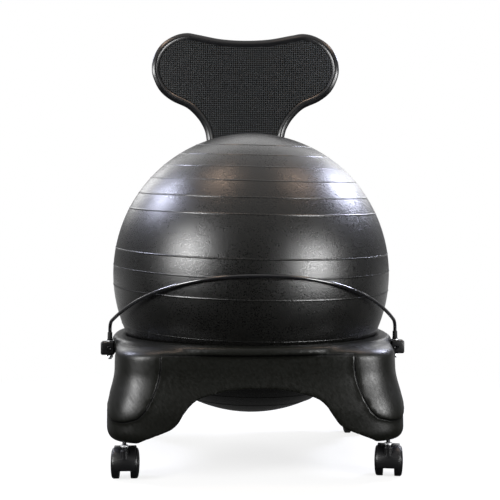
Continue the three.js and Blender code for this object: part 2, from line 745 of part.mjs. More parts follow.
function clampScrew(side) {
  const front = barPivotY - blockDepth / 2;
  const seat = front + clampHeadDepth;
  const screw = turned([
    [0, front], [clampHeadRadius, front], [clampHeadRadius, seat], [clampShankRadius, seat],
    [clampShankRadius, barPivotY - barRadius - gap], [0, barPivotY - barRadius - gap],
  ], rodSides);
  return moved(alongY(screw), side * barEndX, 0, barPivotZ);
}

function hexNut(low, high) {
  const across = nutFlats / 2 / Math.cos(Math.PI / nutSides);
  return cut(solidOf(rod(across, low, high, nutSides)),
    solidOf(rod(barRadius + gap, low - overrun, high + overrun)));
}

sides.forEach(([name, side]) => {
  const onRod = (geometry) => moved(geometry, side * barEndX, barPivotY, 0);
  add(`bar_block_${name}`, geometryOf(barBlock(side)), casterNylon);
  add(`clamp_screw_${name}`, clampScrew(side), blackEnamel);
  const bushInner = side * (wallHalfWidth - bushLength);
  const bushOuter = side * wallHalfWidth;
  add(`pivot_bush_${name}`, moved(alongX(sleeve(trunnionRadius + turning, bushRadius,
    Math.min(bushInner, bushOuter), Math.max(bushInner, bushOuter))), 0, barPivotY, barPivotZ), casterNylon);
  const washerZ = blockTopZ + gap;
  const sleeveZ = washerZ + washerThickness + gap;
  const rodBore = barRadius + gap;
  const nut = geometryOf(hexNut(blockBottomZ - gap - nutHeight, blockBottomZ - gap));
  add(`bar_washer_${name}`, onRod(sleeve(rodBore, washerRadius, washerZ, washerZ + washerThickness)),
    zincSteel);
  add(`bar_sleeve_${name}`, onRod(sleeve(rodBore, sleeveRadius + gap, sleeveZ, sleeveZ + sleeveLength)),
    darkRubber);
  add(`bar_nut_${name}`, onRod(nut), zincSteel);
});

// Back frame: one tube bent into an arch, upright where it is bolted to the base and leaning above
const lean = degrees(backLean);
const leaned = (geometry) => geometry.rotateX(-lean).translate(0, tubeFootY, tubeBendZ);
const leanedPoint = (x, y, up) => new THREE.Vector3(x, y, up)
  .applyAxisAngle(new THREE.Vector3(1, 0, 0), -lean).add(new THREE.Vector3(0, tubeFootY, tubeBendZ));
const upLean = (z) => (z - tubeBendZ) / Math.cos(lean);

function framePath() {
  const top = upLean(tubeTopZ) - tubeHalfSpan;
  const foot = (side) => new THREE.Vector3(side * tubeHalfSpan, tubeFootY, tubeFootZ);
  const bendLow = (side) => new THREE.Vector3(side * tubeHalfSpan, tubeFootY, tubeBendZ);
  const arch = Array.from({ length: archSteps + 1 }, (_, i) => {
    const turn = Math.PI - (i * Math.PI) / archSteps;
    return leanedPoint(tubeHalfSpan * Math.cos(turn), 0, top + tubeHalfSpan * Math.sin(turn));
  });
  return [foot(-1), bendLow(-1), ...arch, bendLow(1), foot(1)];
}

const backLevels = backScrewZs.map(upLean);

function backFrame() {
  const path = framePath();
  const outer = sectionRings(path, tubeRadius, rodSides);
  const inner = sectionRings(path, tubeRadius - tubeWall, rodSides);
  const hole = () => rod(screwRadius + 2 * gap, -2 * tubeRadius, 2 * tubeRadius, boreSides);
  let frame = solidOf(ringSolid([...outer, ...inner.reverse()], true));
  sides.forEach(([, side]) => {
    frameBoltZs.forEach((z) => {
      frame = cut(frame, solidOf(moved(alongY(hole()), side * tubeHalfSpan, tubeFootY, z)));
    });
    backLevels.forEach((up) => {
      frame = cut(frame, solidOf(leaned(moved(alongY(hole()), side * tubeHalfSpan, 0, up))));
    });
  });
  return frame;
}

add('back_frame', geometryOf(backFrame()), blackEnamel);

function tubeCap(side) {
  const spigot = tubeRadius - tubeWall - 2 * gap;
  return moved(turned([
    [0, tubeFootZ - gap - tubeCapHead], [tubeRadius, tubeFootZ - gap - tubeCapHead],
    [tubeRadius, tubeFootZ - gap], [spigot, tubeFootZ - gap], [spigot, tubeFootZ + tubeCapLength - gap],
    [0, tubeFootZ + tubeCapLength - gap],
  ], rodSides), side * tubeHalfSpan, tubeFootY, 0);
}

// A screw along -Y with its head behind the tube and its tip at tipY, both measured from the tube's axis
function tubeScrew(tipY) {
  const seat = tubeRadius + gap;
  const [across, up] = screwDomeShare;
  return alongY(turned([
    [0, tipY], [screwRadius, tipY], [screwRadius, seat], [screwHeadRadius, seat],
    [screwHeadRadius * across, seat + screwHeadHeight * up], [0, seat + screwHeadHeight],
  ], screwSides));
}

// Back: a bent plate with a rolled edge, and a textured panel inside that edge
const plateMiddle = backCurve + backThickness / 2;
const plateCentreY = -(tubeRadius + gap) - (plateMiddle + backRimRadius);
const plateMiddleY = plateCentreY + Math.sqrt(plateMiddle ** 2 - tubeHalfSpan ** 2);

function bentSlab(front, rear) {
  const spread = Math.asin((backHalfWidth + 2 * backRimRadius) / backCurve);
  const low = upLean(backBottomZ) - overrun;
  const high = upLean(backTopZ) + overrun;
  const shape = new THREE.Shape();
  shape.absarc(0, plateCentreY, rear, Math.PI / 2 - spread, Math.PI / 2 + spread, false);
  shape.absarc(0, plateCentreY, front, Math.PI / 2 + spread, Math.PI / 2 - spread, true);
  const options = { depth: high - low, bevelEnabled: false, curveSegments: backCurveSteps };
  return solidOf(new THREE.ExtrudeGeometry(shape, options).translate(0, 0, low));
}

function backOutline(count) {
  const low = upLean(backBottomZ);
  const high = upLean(backTopZ);
  const half = backShares.map(([across, up]) =>
    new THREE.Vector3(across * backHalfWidth, lerp(low, high, up), 0));
  const other = half.slice(1).reverse().map((point) => new THREE.Vector3(-point.x, point.y, 0));
  const curve = new THREE.CatmullRomCurve3([...half, ...other], true, 'centripetal');
  return curve.getSpacedPoints(count).slice(0, -1).map((point) => new THREE.Vector2(point.x, point.y));
}

function outlinePrism(inset) {
  const outline = offsetLine(backOutline(outlineSteps), -inset, true);
  const shape = shapeOf(outline.map((point) => [point.x, point.y]));
  return solidOf(prismAlongY(shape, -backHalfWidth / 2, backHalfWidth / 2));
}

function backShell() {
  const rimLine = offsetLine(backOutline(outlineSteps), -backRimRadius, true).map((point) =>
    new THREE.Vector3(point.x, plateCentreY + Math.sqrt(plateMiddle ** 2 - point.x ** 2), point.y));
  const plate = outlinePrism(backRimRadius).intersect(bentSlab(backCurve, backCurve + backThickness));
  let shell = joined(plate, solidOf(ringSolid(sectionRings(rimLine, backRimRadius, rimSides, true), true)));
  sides.forEach(([, side]) => backLevels.forEach((up) => {
    const at = (geometry) => solidOf(moved(alongY(geometry), side * tubeHalfSpan, 0, up));
    const pad = at(rod(backPadRadius, plateMiddleY, -tubeRadius / 2));
    const tube = solidOf(moved(rod(tubeSeat, up - 2 * backPadRadius, up + 2 * backPadRadius),
      side * tubeHalfSpan, 0, 0));
    const bore = at(rod(screwRadius + 2 * gap, plateMiddleY - gap, 0, boreSides));
    shell = cut(joined(shell, pad), tube, bore);
  }));
  return leaned(geometryOf(shell));
}

function backPanel() {
  const rear = backCurve - gap;
  const panel = outlinePrism(2 * backRimRadius + gap).intersect(bentSlab(rear - backPanelThickness, rear));
  return leaned(geometryOf(panel));
}

add('back_shell', backShell(), mouldedBlack);
add('back_panel', backPanel(), panelBlack);
sides.forEach(([name, side]) => {
  add(`tube_cap_${name}`, tubeCap(side), darkRubber);
  frameBoltZs.forEach((z, i) => {
    const bolt = tubeScrew(-tubeRadius - gap - frameBoltReach);
    add(`frame_bolt_${name}_${i + 1}`, moved(bolt, side * tubeHalfSpan, tubeFootY, z), zincSteel);
  });
  backLevels.forEach((up, i) => {
    const screw = tubeScrew(plateMiddleY);
    add(`back_screw_${name}_${i + 1}`, leaned(moved(screw, side * tubeHalfSpan, 0, up)), zincSteel);
  });
});

// The origin moves under the middle of the overall length, from the guard bar to the back frame
const frontY = -(barApexY + barRadius);
const rearY = tubeFootY + (tubeTopZ - tubeBendZ) * Math.tan(lean) + tubeRadius;
chair.position.y = -(frontY + rearY) / 2;

export default chair;
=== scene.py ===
import json
import math

import bmesh
import bpy
from mathutils import Matrix, Vector


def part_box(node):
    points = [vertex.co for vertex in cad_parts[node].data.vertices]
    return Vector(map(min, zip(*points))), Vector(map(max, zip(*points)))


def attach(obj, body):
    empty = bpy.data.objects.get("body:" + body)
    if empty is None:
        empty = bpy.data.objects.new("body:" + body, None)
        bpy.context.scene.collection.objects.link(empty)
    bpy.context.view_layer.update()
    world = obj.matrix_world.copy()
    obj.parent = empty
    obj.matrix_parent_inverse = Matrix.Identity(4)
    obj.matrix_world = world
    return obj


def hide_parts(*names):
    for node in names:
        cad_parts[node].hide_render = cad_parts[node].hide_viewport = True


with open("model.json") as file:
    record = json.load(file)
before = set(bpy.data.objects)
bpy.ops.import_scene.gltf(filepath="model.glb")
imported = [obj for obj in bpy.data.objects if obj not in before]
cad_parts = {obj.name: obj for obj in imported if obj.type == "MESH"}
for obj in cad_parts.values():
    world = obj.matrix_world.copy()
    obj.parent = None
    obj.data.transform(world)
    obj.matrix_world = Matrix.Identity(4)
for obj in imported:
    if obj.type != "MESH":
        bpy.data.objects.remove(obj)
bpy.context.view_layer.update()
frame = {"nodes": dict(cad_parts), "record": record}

# The balance ball chair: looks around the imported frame. Everything is in metres, in the frame's own axes,
# apart from the profiles of turned pieces, which are in millimetres.
MM = 0.001

# Places and sizes that several pieces share
base_low, base_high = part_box("seat_base")
BALL_RADIUS = 0.250
BALL_CENTRE = Vector((0, (base_low.y + base_high.y) / 2, 0.3288))
CHAIR_Y = BALL_CENTRE.y
PIVOT_FORWARD = 0.083
PIVOT = Vector((0, CHAIR_Y - PIVOT_FORWARD, 0.203))
TUBE_SPAN = 0.058
TUBE_FOOT_Y = 0.2523
CASTER_X = 0.2164
CASTER_Y = 0.207
# Each caster: left or right, front or rear, and how many degrees it has swivelled
CASTER_SPOTS = (("front_left", -1, -1, 0), ("front_right", 1, -1, -12),
                ("rear_left", -1, 1, 180), ("rear_right", 1, 1, 180))
SIDES = (("left", -1), ("right", 1))
ORIGIN = (0, 0, 0)
X_AXIS = (1, 0, 0)
Y_AXIS = (0, 1, 0)
Z_AXIS = (0, 0, 1)


def tube_leg(side, height):
    """A point on the back tube's upright legs, or between them."""
    return Vector((side * TUBE_SPAN, CHAIR_Y + TUBE_FOOT_Y, height))


def in_scene(name, data):
    """A new object, in the scene."""
    made = bpy.data.objects.new(name, data)
    bpy.context.scene.collection.objects.link(made)
    return made


# Camera

# The photograph's view: level, a little to the left of straight ahead, and shifted down to the frame
VIEW_YAW = math.radians(2.7)
VIEW_DISTANCE = 2.019
VIEW_HEIGHT = 0.4228
FRAME_PIXELS = 500
LENS_PIXELS = 1105.9
HORIZON_ROW = 221.5
MIDDLE_COLUMN = 251.07
SENSOR_WIDTH = 36

camera_data = bpy.data.cameras.new("photo_camera")
camera = in_scene("photo_camera", camera_data)
ahead = Vector((math.sin(VIEW_YAW), math.cos(VIEW_YAW), 0))
camera.location = Vector((0, CHAIR_Y, VIEW_HEIGHT)) - ahead * VIEW_DISTANCE
camera.rotation_euler = (math.radians(90), 0, -VIEW_YAW)
camera_data.sensor_width = SENSOR_WIDTH
camera_data.lens = SENSOR_WIDTH * LENS_PIXELS / FRAME_PIXELS
camera_data.shift_x = -(MIDDLE_COLUMN - FRAME_PIXELS / 2) / FRAME_PIXELS
camera_data.shift_y = (HORIZON_ROW - FRAME_PIXELS / 2) / FRAME_PIXELS
camera_data.clip_end = 20
bpy.context.scene.camera = camera


# Materials

def linear(hex_colour):
    """An sRGB hex colour as linear RGBA."""
    channels = [int(hex_colour[i:i + 2], 16) / 255 for i in (1, 3, 5)]
    return [c / 12.92 if c <= 0.04045 else ((c + 0.055) / 1.055) ** 2.4 for c in channels] + [1]


def node(tree, kind, links=None, values=None, **settings):
    """Add a shader node with its settings, its socket values, and its links. A link comes from an output of
    another node, or from a node, which stands for its first output."""
    made = tree.nodes.new("ShaderNode" + kind)
    for name, value in settings.items():
        setattr(made, name, value)
    for socket, value in (values or {}).items():
        made.inputs[socket].default_value = value
    for socket, source in (links or {}).items():
        output = source.outputs[0] if isinstance(source, bpy.types.Node) else source
        tree.links.new(output, made.inputs[socket])
    return made


def material(name, surface):
    """A material whose surface comes from a function of its tree and of the place on the object."""
    made = bpy.data.materials.new(name)
    made.use_nodes = True
    tree = made.node_tree
    tree.nodes.clear()
    shader = surface(tree, node(tree, "TexCoord").outputs["Object"])
    node(tree, "OutputMaterial", {"Surface": shader})
    return made


def seat_vinyl(tree, place):
    # Burst-resistant PVC, rotationally moulded: satin, with a fine pebble from the mould that sparkles in
    # highlights. The real pebble is about 0.5 mm across; it is drawn 2 mm across so that it shows.
    pebble = node(tree, "TexNoise", {"Vector": place},
                  {"Scale": 1 / (2 * MM), "Detail": 2.0, "Roughness": 0.6})
    cloud = node(tree, "TexNoise", {"Vector": place}, {"Scale": 1 / (60 * MM), "Detail": 3.0})
    crest = node(tree, "MapRange", {"Value": pebble}, {"From Min": 0.4, "From Max": 0.6})
    tone = node(tree, "Mix", {"Factor": crest}, {6: linear("#020202"), 7: linear("#0b0b09")},
                data_type="RGBA")
    rough = node(tree, "MapRange", {"Value": crest}, {"To Min": 0.24, "To Max": 0.34})
    worn = node(tree, "Math", {0: cloud, 2: rough}, {1: 0.06}, operation="MULTIPLY_ADD")
    bump = node(tree, "Bump", {"Height": pebble}, {"Strength": 0.7, "Distance": 0.5 * MM})
    return node(tree, "BsdfPrincipled", {"Base Color": tone.outputs[2], "Roughness": worn, "Normal": bump},
                {"IOR": 1.53})


def blown_polyethylene(tree, place):
    # Blow-moulded polyethylene: satin black, with faint streaks where the tool was brushed, and a soft waxy
    # sheen. The streaks lean across each wall, some 90 mm long. The real ones are about 1 mm apart; they are
    # drawn 3 mm apart so that they show.
    lean = node(tree, "Mapping", {"Vector": place},
                {"Rotation": (math.radians(-35), math.radians(-35), 0), "Scale": (3 * MM, 3 * MM, 90 * MM)},
                vector_type="TEXTURE")
    streak = node(tree, "TexNoise", {"Vector": lean}, {"Scale": 1.0, "Detail": 3.0})
    peel = node(tree, "TexNoise", {"Vector": place}, {"Scale": 1 / (9 * MM), "Detail": 2.0})
    tone = node(tree, "Mix", {"Factor": streak}, {6: linear("#080806"), 7: linear("#0f100d")},
                data_type="RGBA")
    # The parting groove round the raised corner shells, from each point's distance to it
    edge = node(tree, "Attribute", attribute_name="shell_edge")
    away = node(tree, "Math", {0: edge.outputs["Fac"]}, operation="ABSOLUTE")
    flank = node(tree, "MapRange", {"Value": away}, {"From Min": 0.7 * MM, "From Max": 2.2 * MM})
    # Painted shade: the colour darkens to near black along the groove
    tone_and_painted_shade = node(tree, "Mix", {"Factor": flank, 7: tone.outputs[2]}, {6: linear("#020202")},
                  data_type="RGBA")
    rough = node(tree, "MapRange", {"Value": streak},
                 {"From Min": 0.3, "From Max": 0.7, "To Min": 0.3, "To Max": 0.43})
    fine = node(tree, "Bump", {"Height": streak}, {"Strength": 0.2, "Distance": 0.3 * MM})
    waxy = node(tree, "Bump", {"Height": peel, "Normal": fine}, {"Strength": 0.15, "Distance": 0.6 * MM})
    groove = node(tree, "Bump", {"Height": flank, "Normal": waxy}, {"Strength": 0.5, "Distance": 0.9 * MM})
    return node(tree, "BsdfPrincipled",
                {"Base Color": tone_and_painted_shade.outputs[2], "Roughness": rough, "Normal": groove},
                {"IOR": 1.5, "Specular IOR Level": 0.24})


def pinhole_grain(tree, place):
    # Injection-moulded grain of small round dimples in staggered rows, like a woven mesh from afar. The real
    # dimples are about 2 mm apart; they are drawn 4.4 mm apart so that they show.
    axes = node(tree, "SeparateXYZ", {"Vector": place})
    pitch = 4.4 * MM
    # Two crossed sine waves at 45 degrees make the staggered dots
    waves = []
    for crossing in ("ADD", "SUBTRACT"):
        line = node(tree, "Math", {0: axes.outputs["X"], 1: axes.outputs["Z"]}, operation=crossing)
        turns = node(tree, "Math", {0: line}, {1: math.pi / pitch}, operation="MULTIPLY")
        waves.append(node(tree, "Math", {0: turns}, operation="SINE"))
    dots = node(tree, "Math", {0: waves[0], 1: waves[1]}, operation="MULTIPLY")
    dimple_and_painted_shade = node(tree, "MapRange", {"Value": dots}, {"From Min": -0.35, "From Max": 0.3})
    blotch = node(tree, "TexNoise", {"Vector": place}, {"Scale": 1 / (18 * MM), "Detail": 3.0})
    # The land is grey and the dimples black: painted shade in the dimples
    tone = node(tree, "Mix", {"Factor": dimple_and_painted_shade}, {6: linear("#272a2c"), 7: linear("#000000")},
                data_type="RGBA")
    rough = node(tree, "MapRange", {"Value": blotch}, {"To Min": 0.3, "To Max": 0.42})
    bump = node(tree, "Bump", {"Height": dimple_and_painted_shade}, {"Strength": 1.0, "Distance": 1.0 * MM}, invert=True)
    return node(tree, "BsdfPrincipled", {"Base Color": tone.outputs[2], "Roughness": rough, "Normal": bump},
                {"IOR": 1.49, "Specular IOR Level": 0.18})


def grained(grain, detail, tones, roughness, relief, gloss):
    """A surface whose tone, roughness and bump follow one grain, in mm; relief is (strength, mm)."""
    def surface(tree, place):
        speck = node(tree, "TexNoise", {"Vector": place}, {"Scale": 1 / (grain * MM), "Detail": detail})
        tone = node(tree, "Mix", {"Factor": speck}, {6: linear(tones[0]), 7: linear(tones[1])},
                    data_type="RGBA")
        rough = node(tree, "MapRange", {"Value": speck}, {"To Min": roughness[0], "To Max": roughness[1]})
        bump = node(tree, "Bump", {"Height": speck}, {"Strength": relief[0], "Distance": relief[1] * MM})
        return node(tree, "BsdfPrincipled",
                    {"Base Color": tone.outputs[2], "Roughness": rough, "Normal": bump}, gloss)
    return surface


def zinc_steel(tree, place):
    # Zinc-plated steel, turned: pale, slightly blue, with fine turning lines. A wave texture repeats about
    # three times in the length that it is scaled to, so the lines are some 0.4 mm apart.
    lines = node(tree, "TexWave", {"Vector": place}, {"Scale": 1 / (1.2 * MM), "Distortion": 1.5},
                 bands_direction="Z")
    tarnish = node(tree, "TexNoise", {"Vector": place}, {"Scale": 1 / (5 * MM), "Detail": 4.0})
    tone = node(tree, "Mix", {"Factor": tarnish}, {6: linear("#d4d6d9"), 7: linear("#f4f5f6")},
                data_type="RGBA")
    rough = node(tree, "MapRange", {"Value": tarnish}, {"To Min": 0.4, "To Max": 0.6})
    bump = node(tree, "Bump", {"Height": lines.outputs["Fac"]}, {"Strength": 0.15, "Distance": 0.05 * MM})
    return node(tree, "BsdfPrincipled", {"Base Color": tone.outputs[2], "Roughness": rough, "Normal": bump},
                {"Metallic": 1.0})


def blackened_stem(tree, place):
    # Blackened steel pin, satin from its oil finish, with a bright plated collar above the hood. The collar
    # is 57.2 mm above the floor, and reaches 1.8 mm up and down from there.
    axes = node(tree, "SeparateXYZ", {"Vector": place})
    collar = node(tree, "Math", {0: axes.outputs["Z"]}, {1: 57.2 * MM, 2: 1.8 * MM}, operation="COMPARE")
    smear = node(tree, "TexNoise", {"Vector": place}, {"Scale": 1 / (3 * MM), "Detail": 3.0})
    dark = node(tree, "Mix", {"Factor": smear}, {6: linear("#1c1c1e"), 7: linear("#38383b")},
                data_type="RGBA")
    tone = node(tree, "Mix", {"Factor": collar, 6: dark.outputs[2]}, {7: linear("#f2f3f5")}, data_type="RGBA")
    rough = node(tree, "MapRange", {"Value": smear}, {"To Min": 0.38, "To Max": 0.55})
    bump = node(tree, "Bump", {"Height": smear}, {"Strength": 0.1, "Distance": 0.1 * MM})
    return node(tree, "BsdfPrincipled", {"Base Color": tone.outputs[2], "Roughness": rough, "Normal": bump},
                {"Metallic": 1.0})


FINISHES = {
    "base_plastic": material("blow_moulded_polyethylene", blown_polyethylene),
    "ball_vinyl": material("pebbled_pvc_vinyl", seat_vinyl),
    # Injection-moulded polypropylene from a polished tool: deep black and glossy, with faint handling haze
    "back_plastic": material("polished_polypropylene", grained(
        25, 4.0, ("#050506", "#0d0e10"), (0.24, 0.36), (0.05, 0.5), {"IOR": 1.49})),
    "back_panel": material("dimpled_polypropylene", pinhole_grain),
    # Gloss enamel stoved on steel rod and tube: black, hard and smooth, with a slight orange peel
    "black_enamel": material("stoved_black_enamel", grained(
        2.5, 2.0, ("#0c0c0d", "#141416"), (0.16, 0.26), (0.08, 0.1),
        {"IOR": 1.55, "Coat Weight": 0.5, "Coat Roughness": 0.08})),
    # Glass-filled nylon, injection moulded: charcoal black, with the mould's fine spark grain. The real grain
    # is about 0.2 mm wide; it is drawn 1 mm wide so that it shows.
    "block_plastic": material("moulded_nylon", grained(
        1, 3.0, ("#060607", "#0e0e0f"), (0.28, 0.42), (0.2, 0.1), {"IOR": 1.53, "Specular IOR Level": 0.35})),
    "zinc_steel": material("zinc_plated_steel", zinc_steel),
    # Compression-moulded rubber: nearly black and dull, slightly dusty
    "black_rubber": material("moulded_rubber", grained(
        3, 4.0, ("#040404", "#0d0d0d"), (0.6, 0.8), (0.2, 0.1), {"IOR": 1.52, "Specular IOR Level": 0.25})),
}
FINISHES["caster_nylon"] = FINISHES["block_plastic"]
STEM_FINISH = material("blackened_steel_stem", blackened_stem)

SLOTS = {entry["node"]: entry["material_slot"] for entry in frame["record"]["subparts"]}
BODIES = {member: body for body, members in frame["record"]["behaviour"]["bodies"].items()
          for member in members}
for name, obj in frame["nodes"].items():
    obj.data.materials.clear()
    obj.data.materials.append(FINISHES[SLOTS[name]])


# Making pieces

WELD = 1e-6
JOIN, CUT, COMMON = "UNION", "DIFFERENCE", "INTERSECT"


def dressed(name, mesh, replaced, smooth_angle=40):
    """Link a finished mesh as a piece that stands for a CAD node, with that node's body and finish."""
    obj = in_scene(name, mesh)
    mesh.materials.clear()
    mesh.materials.append(FINISHES[SLOTS[replaced]])
    mesh.shade_smooth()
    mesh.set_sharp_from_angle(angle=math.radians(smooth_angle))
    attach(obj, BODIES[replaced])
    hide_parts(replaced)
    return obj


def welded(shape):
    """A bmesh with its doubles merged and its faces pointing outwards."""
    bmesh.ops.remove_doubles(shape, verts=shape.verts, dist=WELD)
    bmesh.ops.recalc_face_normals(shape, faces=shape.faces)
    return shape


def mesh_piece(name, shape, replaced, smooth_angle=40):
    """Turn a bmesh into a piece that stands for a CAD node."""
    mesh = bpy.data.meshes.new(name)
    welded(shape).to_mesh(mesh)
    shape.free()
    return dressed(name, mesh, replaced, smooth_angle)


def verts_of(made):
    """The vertices among what an operator made."""
    return [v for v in made if isinstance(v, bmesh.types.BMVert)]


def moved(shape, matrix):
    """A bmesh, put in its place."""
    bmesh.ops.transform(shape, matrix=matrix, verts=shape.verts)
    return shape


def rounded(shape, edges, offset, segments):
    """A bmesh with some of its edges rounded."""
    bmesh.ops.bevel(shape, geom=edges, offset=offset, offset_type="OFFSET", affect="EDGES", segments=segments,
                    profile=0.5, material=-1)
    return shape


def block(size, centre):
    """A plain box."""
    shape = bmesh.new()
    bmesh.ops.create_cube(shape, size=1)
    bmesh.ops.scale(shape, vec=size, verts=shape.verts)
    return moved(shape, Matrix.Translation(centre))


def turned(profile, centre=ORIGIN, axis=Z_AXIS, steps=48, unit=MM):
    """Spin a profile of (radius, along) points right round an axis through centre."""
    shape = bmesh.new()
    ends = [shape.verts.new((radius * unit, 0, along * unit)) for radius, along in profile]
    edges = [shape.edges.new(pair) for pair in zip(ends, ends[1:])]
    bmesh.ops.spin(shape, geom=ends + edges, cent=ORIGIN, axis=Z_AXIS, angle=2 * math.pi, steps=steps,
                   use_merge=True)
    bmesh.ops.remove_doubles(shape, verts=shape.verts, dist=WELD)
    turn = Vector(Z_AXIS).rotation_difference(Vector(axis)).to_matrix().to_4x4()
    return moved(shape, Matrix.Translation(centre) @ turn)


def rod(radius, low, high, centre=ORIGIN, axis=Z_AXIS, steps=28):
    """A plain round rod, to join or to cut with: its radius and its two ends along the axis, in mm."""
    return turned([(0, low), (radius, low), (radius, high), (0, high)], centre, axis, steps)


def prism(outline, start, length):
    """An outline of (x, z) points at y = start, pushed out along Y."""
    shape = bmesh.new()
    face = shape.faces.new([shape.verts.new((x, start, z)) for x, z in outline])
    made = bmesh.ops.extrude_face_region(shape, geom=[face])["geom"]
    bmesh.ops.translate(shape, vec=(0, length, 0), verts=verts_of(made))
    return shape


def smooth_line(points, per_span, closed=False):
    """A Catmull-Rom line through points."""
    count = len(points)

    def at(k):
        return points[k % count] if closed else points[max(0, min(count - 1, k))]
    line = []
    for i in range(count if closed else count - 1):
        a, b, c, d = at(i - 1), at(i), at(i + 1), at(i + 2)
        for t in (s / per_span for s in range(per_span)):
            line.append(0.5 * (2 * b + (c - a) * t + (2 * a - 5 * b + 4 * c - d) * t * t
                               + (3 * b - a - 3 * c + d) * t ** 3))
    return line if closed else line + [points[-1]]


def bend(start, corner, end, steps):
    """A soft bend from start to end that heads for the corner between them."""
    shares = [i / steps for i in range(steps + 1)]
    return [start * (1 - t) ** 2 + corner * 2 * t * (1 - t) + end * t * t for t in shares]


def eased(low, high, value):
    """0 below low, 1 above high, and a smooth step between."""
    t = max(0.0, min(1.0, (value - low) / (high - low)))
    return t * t * (3 - 2 * t)


def evaluated(obj):
    """An object's mesh as its modifiers or its bevel leave it; the object itself goes."""
    bpy.context.view_layer.update()
    mesh = bpy.data.meshes.new_from_object(obj.evaluated_get(bpy.context.evaluated_depsgraph_get()))
    bpy.data.objects.remove(obj)
    return mesh


def swept(points, radius, sides):
    """A round rod along a line of points."""
    data = bpy.data.curves.new("swept_rod", "CURVE")
    data.dimensions = "3D"
    data.bevel_depth = radius
    data.bevel_resolution = sides
    data.use_fill_caps = True
    line = data.splines.new("POLY")
    line.points.add(len(points) - 1)
    for target, point in zip(line.points, points):
        target.co = (*point, 1)
    mesh = evaluated(in_scene("swept_rod", data))
    shape = bmesh.new()
    shape.from_mesh(mesh)
    bpy.data.meshes.remove(mesh)
    return welded(shape)


def modified(shape, *steps):
    """Apply modifiers, each (type, settings), to a bmesh and return the result as a mesh."""
    mesh = bpy.data.meshes.new("work")
    shape.to_mesh(mesh)
    shape.free()
    obj = in_scene("work", mesh)
    for kind, settings in steps:
        modifier = obj.modifiers.new(kind, kind)
        for key, value in settings.items():
            setattr(modifier, key, value)
    result = evaluated(obj)
    bpy.data.meshes.remove(mesh)
    return result


def combined(shape, parts, *more):
    """Join parts to a bmesh or cut them from it, in order, then apply more modifiers; returns a mesh."""
    tools, steps = [], []
    for operation, part in parts:
        mesh = bpy.data.meshes.new("tool")
        bmesh.ops.recalc_face_normals(part, faces=part.faces)
        part.to_mesh(mesh)
        part.free()
        tools.append(in_scene("tool", mesh))
        steps.append(("BOOLEAN", {"operation": operation, "solver": "MANIFOLD", "object": tools[-1]}))
    result = modified(shape, *steps, *more)
    for tool in tools:
        mesh = tool.data
        bpy.data.objects.remove(tool)
        bpy.data.meshes.remove(mesh)
    return result


def lofted(rings, looped=False):
    """Extrude a ring of vertices from ring to ring of points, then cap its ends or run back to the first."""
    shape = bmesh.new()
    bmesh.ops.create_circle(shape, segments=len(rings[0]), radius=1)

    def in_order(verts):
        return sorted(verts, key=lambda v: math.atan2(v.co.y, v.co.x))
    loops = [in_order(shape.verts)]
    first = edges = shape.edges[:]
    rows = rings[1:] + rings[:1] if looped else rings[1:]
    for _ in rows:
        made = bmesh.ops.extrude_edge_only(shape, edges=edges)["geom"]
        fresh = set(verts_of(made))
        edges = [e for e in made if isinstance(e, bmesh.types.BMEdge) and set(e.verts) <= fresh]
        loops.append(in_order(fresh))
    for loop, points in zip(loops, rings[:1] + rows):
        for vert, point in zip(loop, points):
            vert.co = point
    if looped:
        bmesh.ops.remove_doubles(shape, verts=shape.verts, dist=1e-7)
    else:
        bmesh.ops.contextual_create(shape, geom=first)
        bmesh.ops.contextual_create(shape, geom=edges)
    return shape


# Seat base

BASE_TOP = 0.222
LEG_BOTTOM = 0.065
WALL_HALF = 0.241
PANEL_TOP = 0.207
PANEL_SINK = 0.003
PANEL_EASE = 0.0014
ROLL = 0.022
FOOT_CURL = 0.017
# The walls flare out by this much from one height down to another, and the foot's edge curls in by as much
FLARE = 0.012
FLARE_TOP = 0.178
FLARE_DEPTH = 0.070
# How square the walls' outline is under the roll and at the foot: 2 is a circle
SQUARENESS = (5.4, 7)
# Half the width of an outline, and how square it is
TOP_OUTLINE = (0.225, 2.6)
RIM_OUTLINE = (0.250, 2.45)
# The rim's outer face: height, and distance in from the rim's outline
RIM_FACE = [(0.207, 0.0018), (0.2088, 0), (0.2153, 0.0003), (0.2199, 0.0032), (0.222, 0.009)]
# The edge of the raised corner shell: height, and distance from the middle of the wall
SHELL_EDGE = [(0.098, 0.265), (0.1002, 0.2145), (0.1062, 0.1942), (0.1165, 0.1824), (0.136, 0.1711),
              (0.1535, 0.1639), (0.170, 0.1591), (0.187, 0.1569), (0.207, 0.1569)]
# The underside arch: distance from the middle, and height
ARCH_LINE = [(0, 0.153), (0.041, 0.1504), (0.080, 0.1424), (0.0993, 0.1348), (0.1089, 0.1266),
             (0.1186, 0.1152), (0.1282, 0.0993), (0.1379, 0.0905), (0.1475, 0.0857), (0.1663, 0.0782),
             (0.1868, 0.0694), (0.200, 0.060)]
ARCH_REACH = 0.3
# The ball's seat: the gap round the ball, the radii it covers in mm, and the radius of the lip above it
SEAT_GAP = 0.0009
SEAT_RADII = (200, 220)
LIP_RADIUS = 0.232
# The radii, in mm, of what is bored for the stems' sleeves, the bushes, the side blocks and the back's tube
SLEEVE_BORE = 5.6
BUSH_BORE = 9.0
BLOCK_RECESS = 16.8
TUBE_RECESS = 12.0
# Rows of vertices up the foot, the wall and the roll, and steps round an eighth of the base
FOOT_ROWS, WALL_ROWS, ROLL_ROWS = 8, 48, 10
EIGHTH_STEPS = 30
VOXEL = 0.0028


def squared_circle(angle, half, power):
    """The radius, in one direction, of an outline between a circle and a square."""
    return half / (abs(math.cos(angle)) ** power + abs(math.sin(angle)) ** power) ** (1 / power)


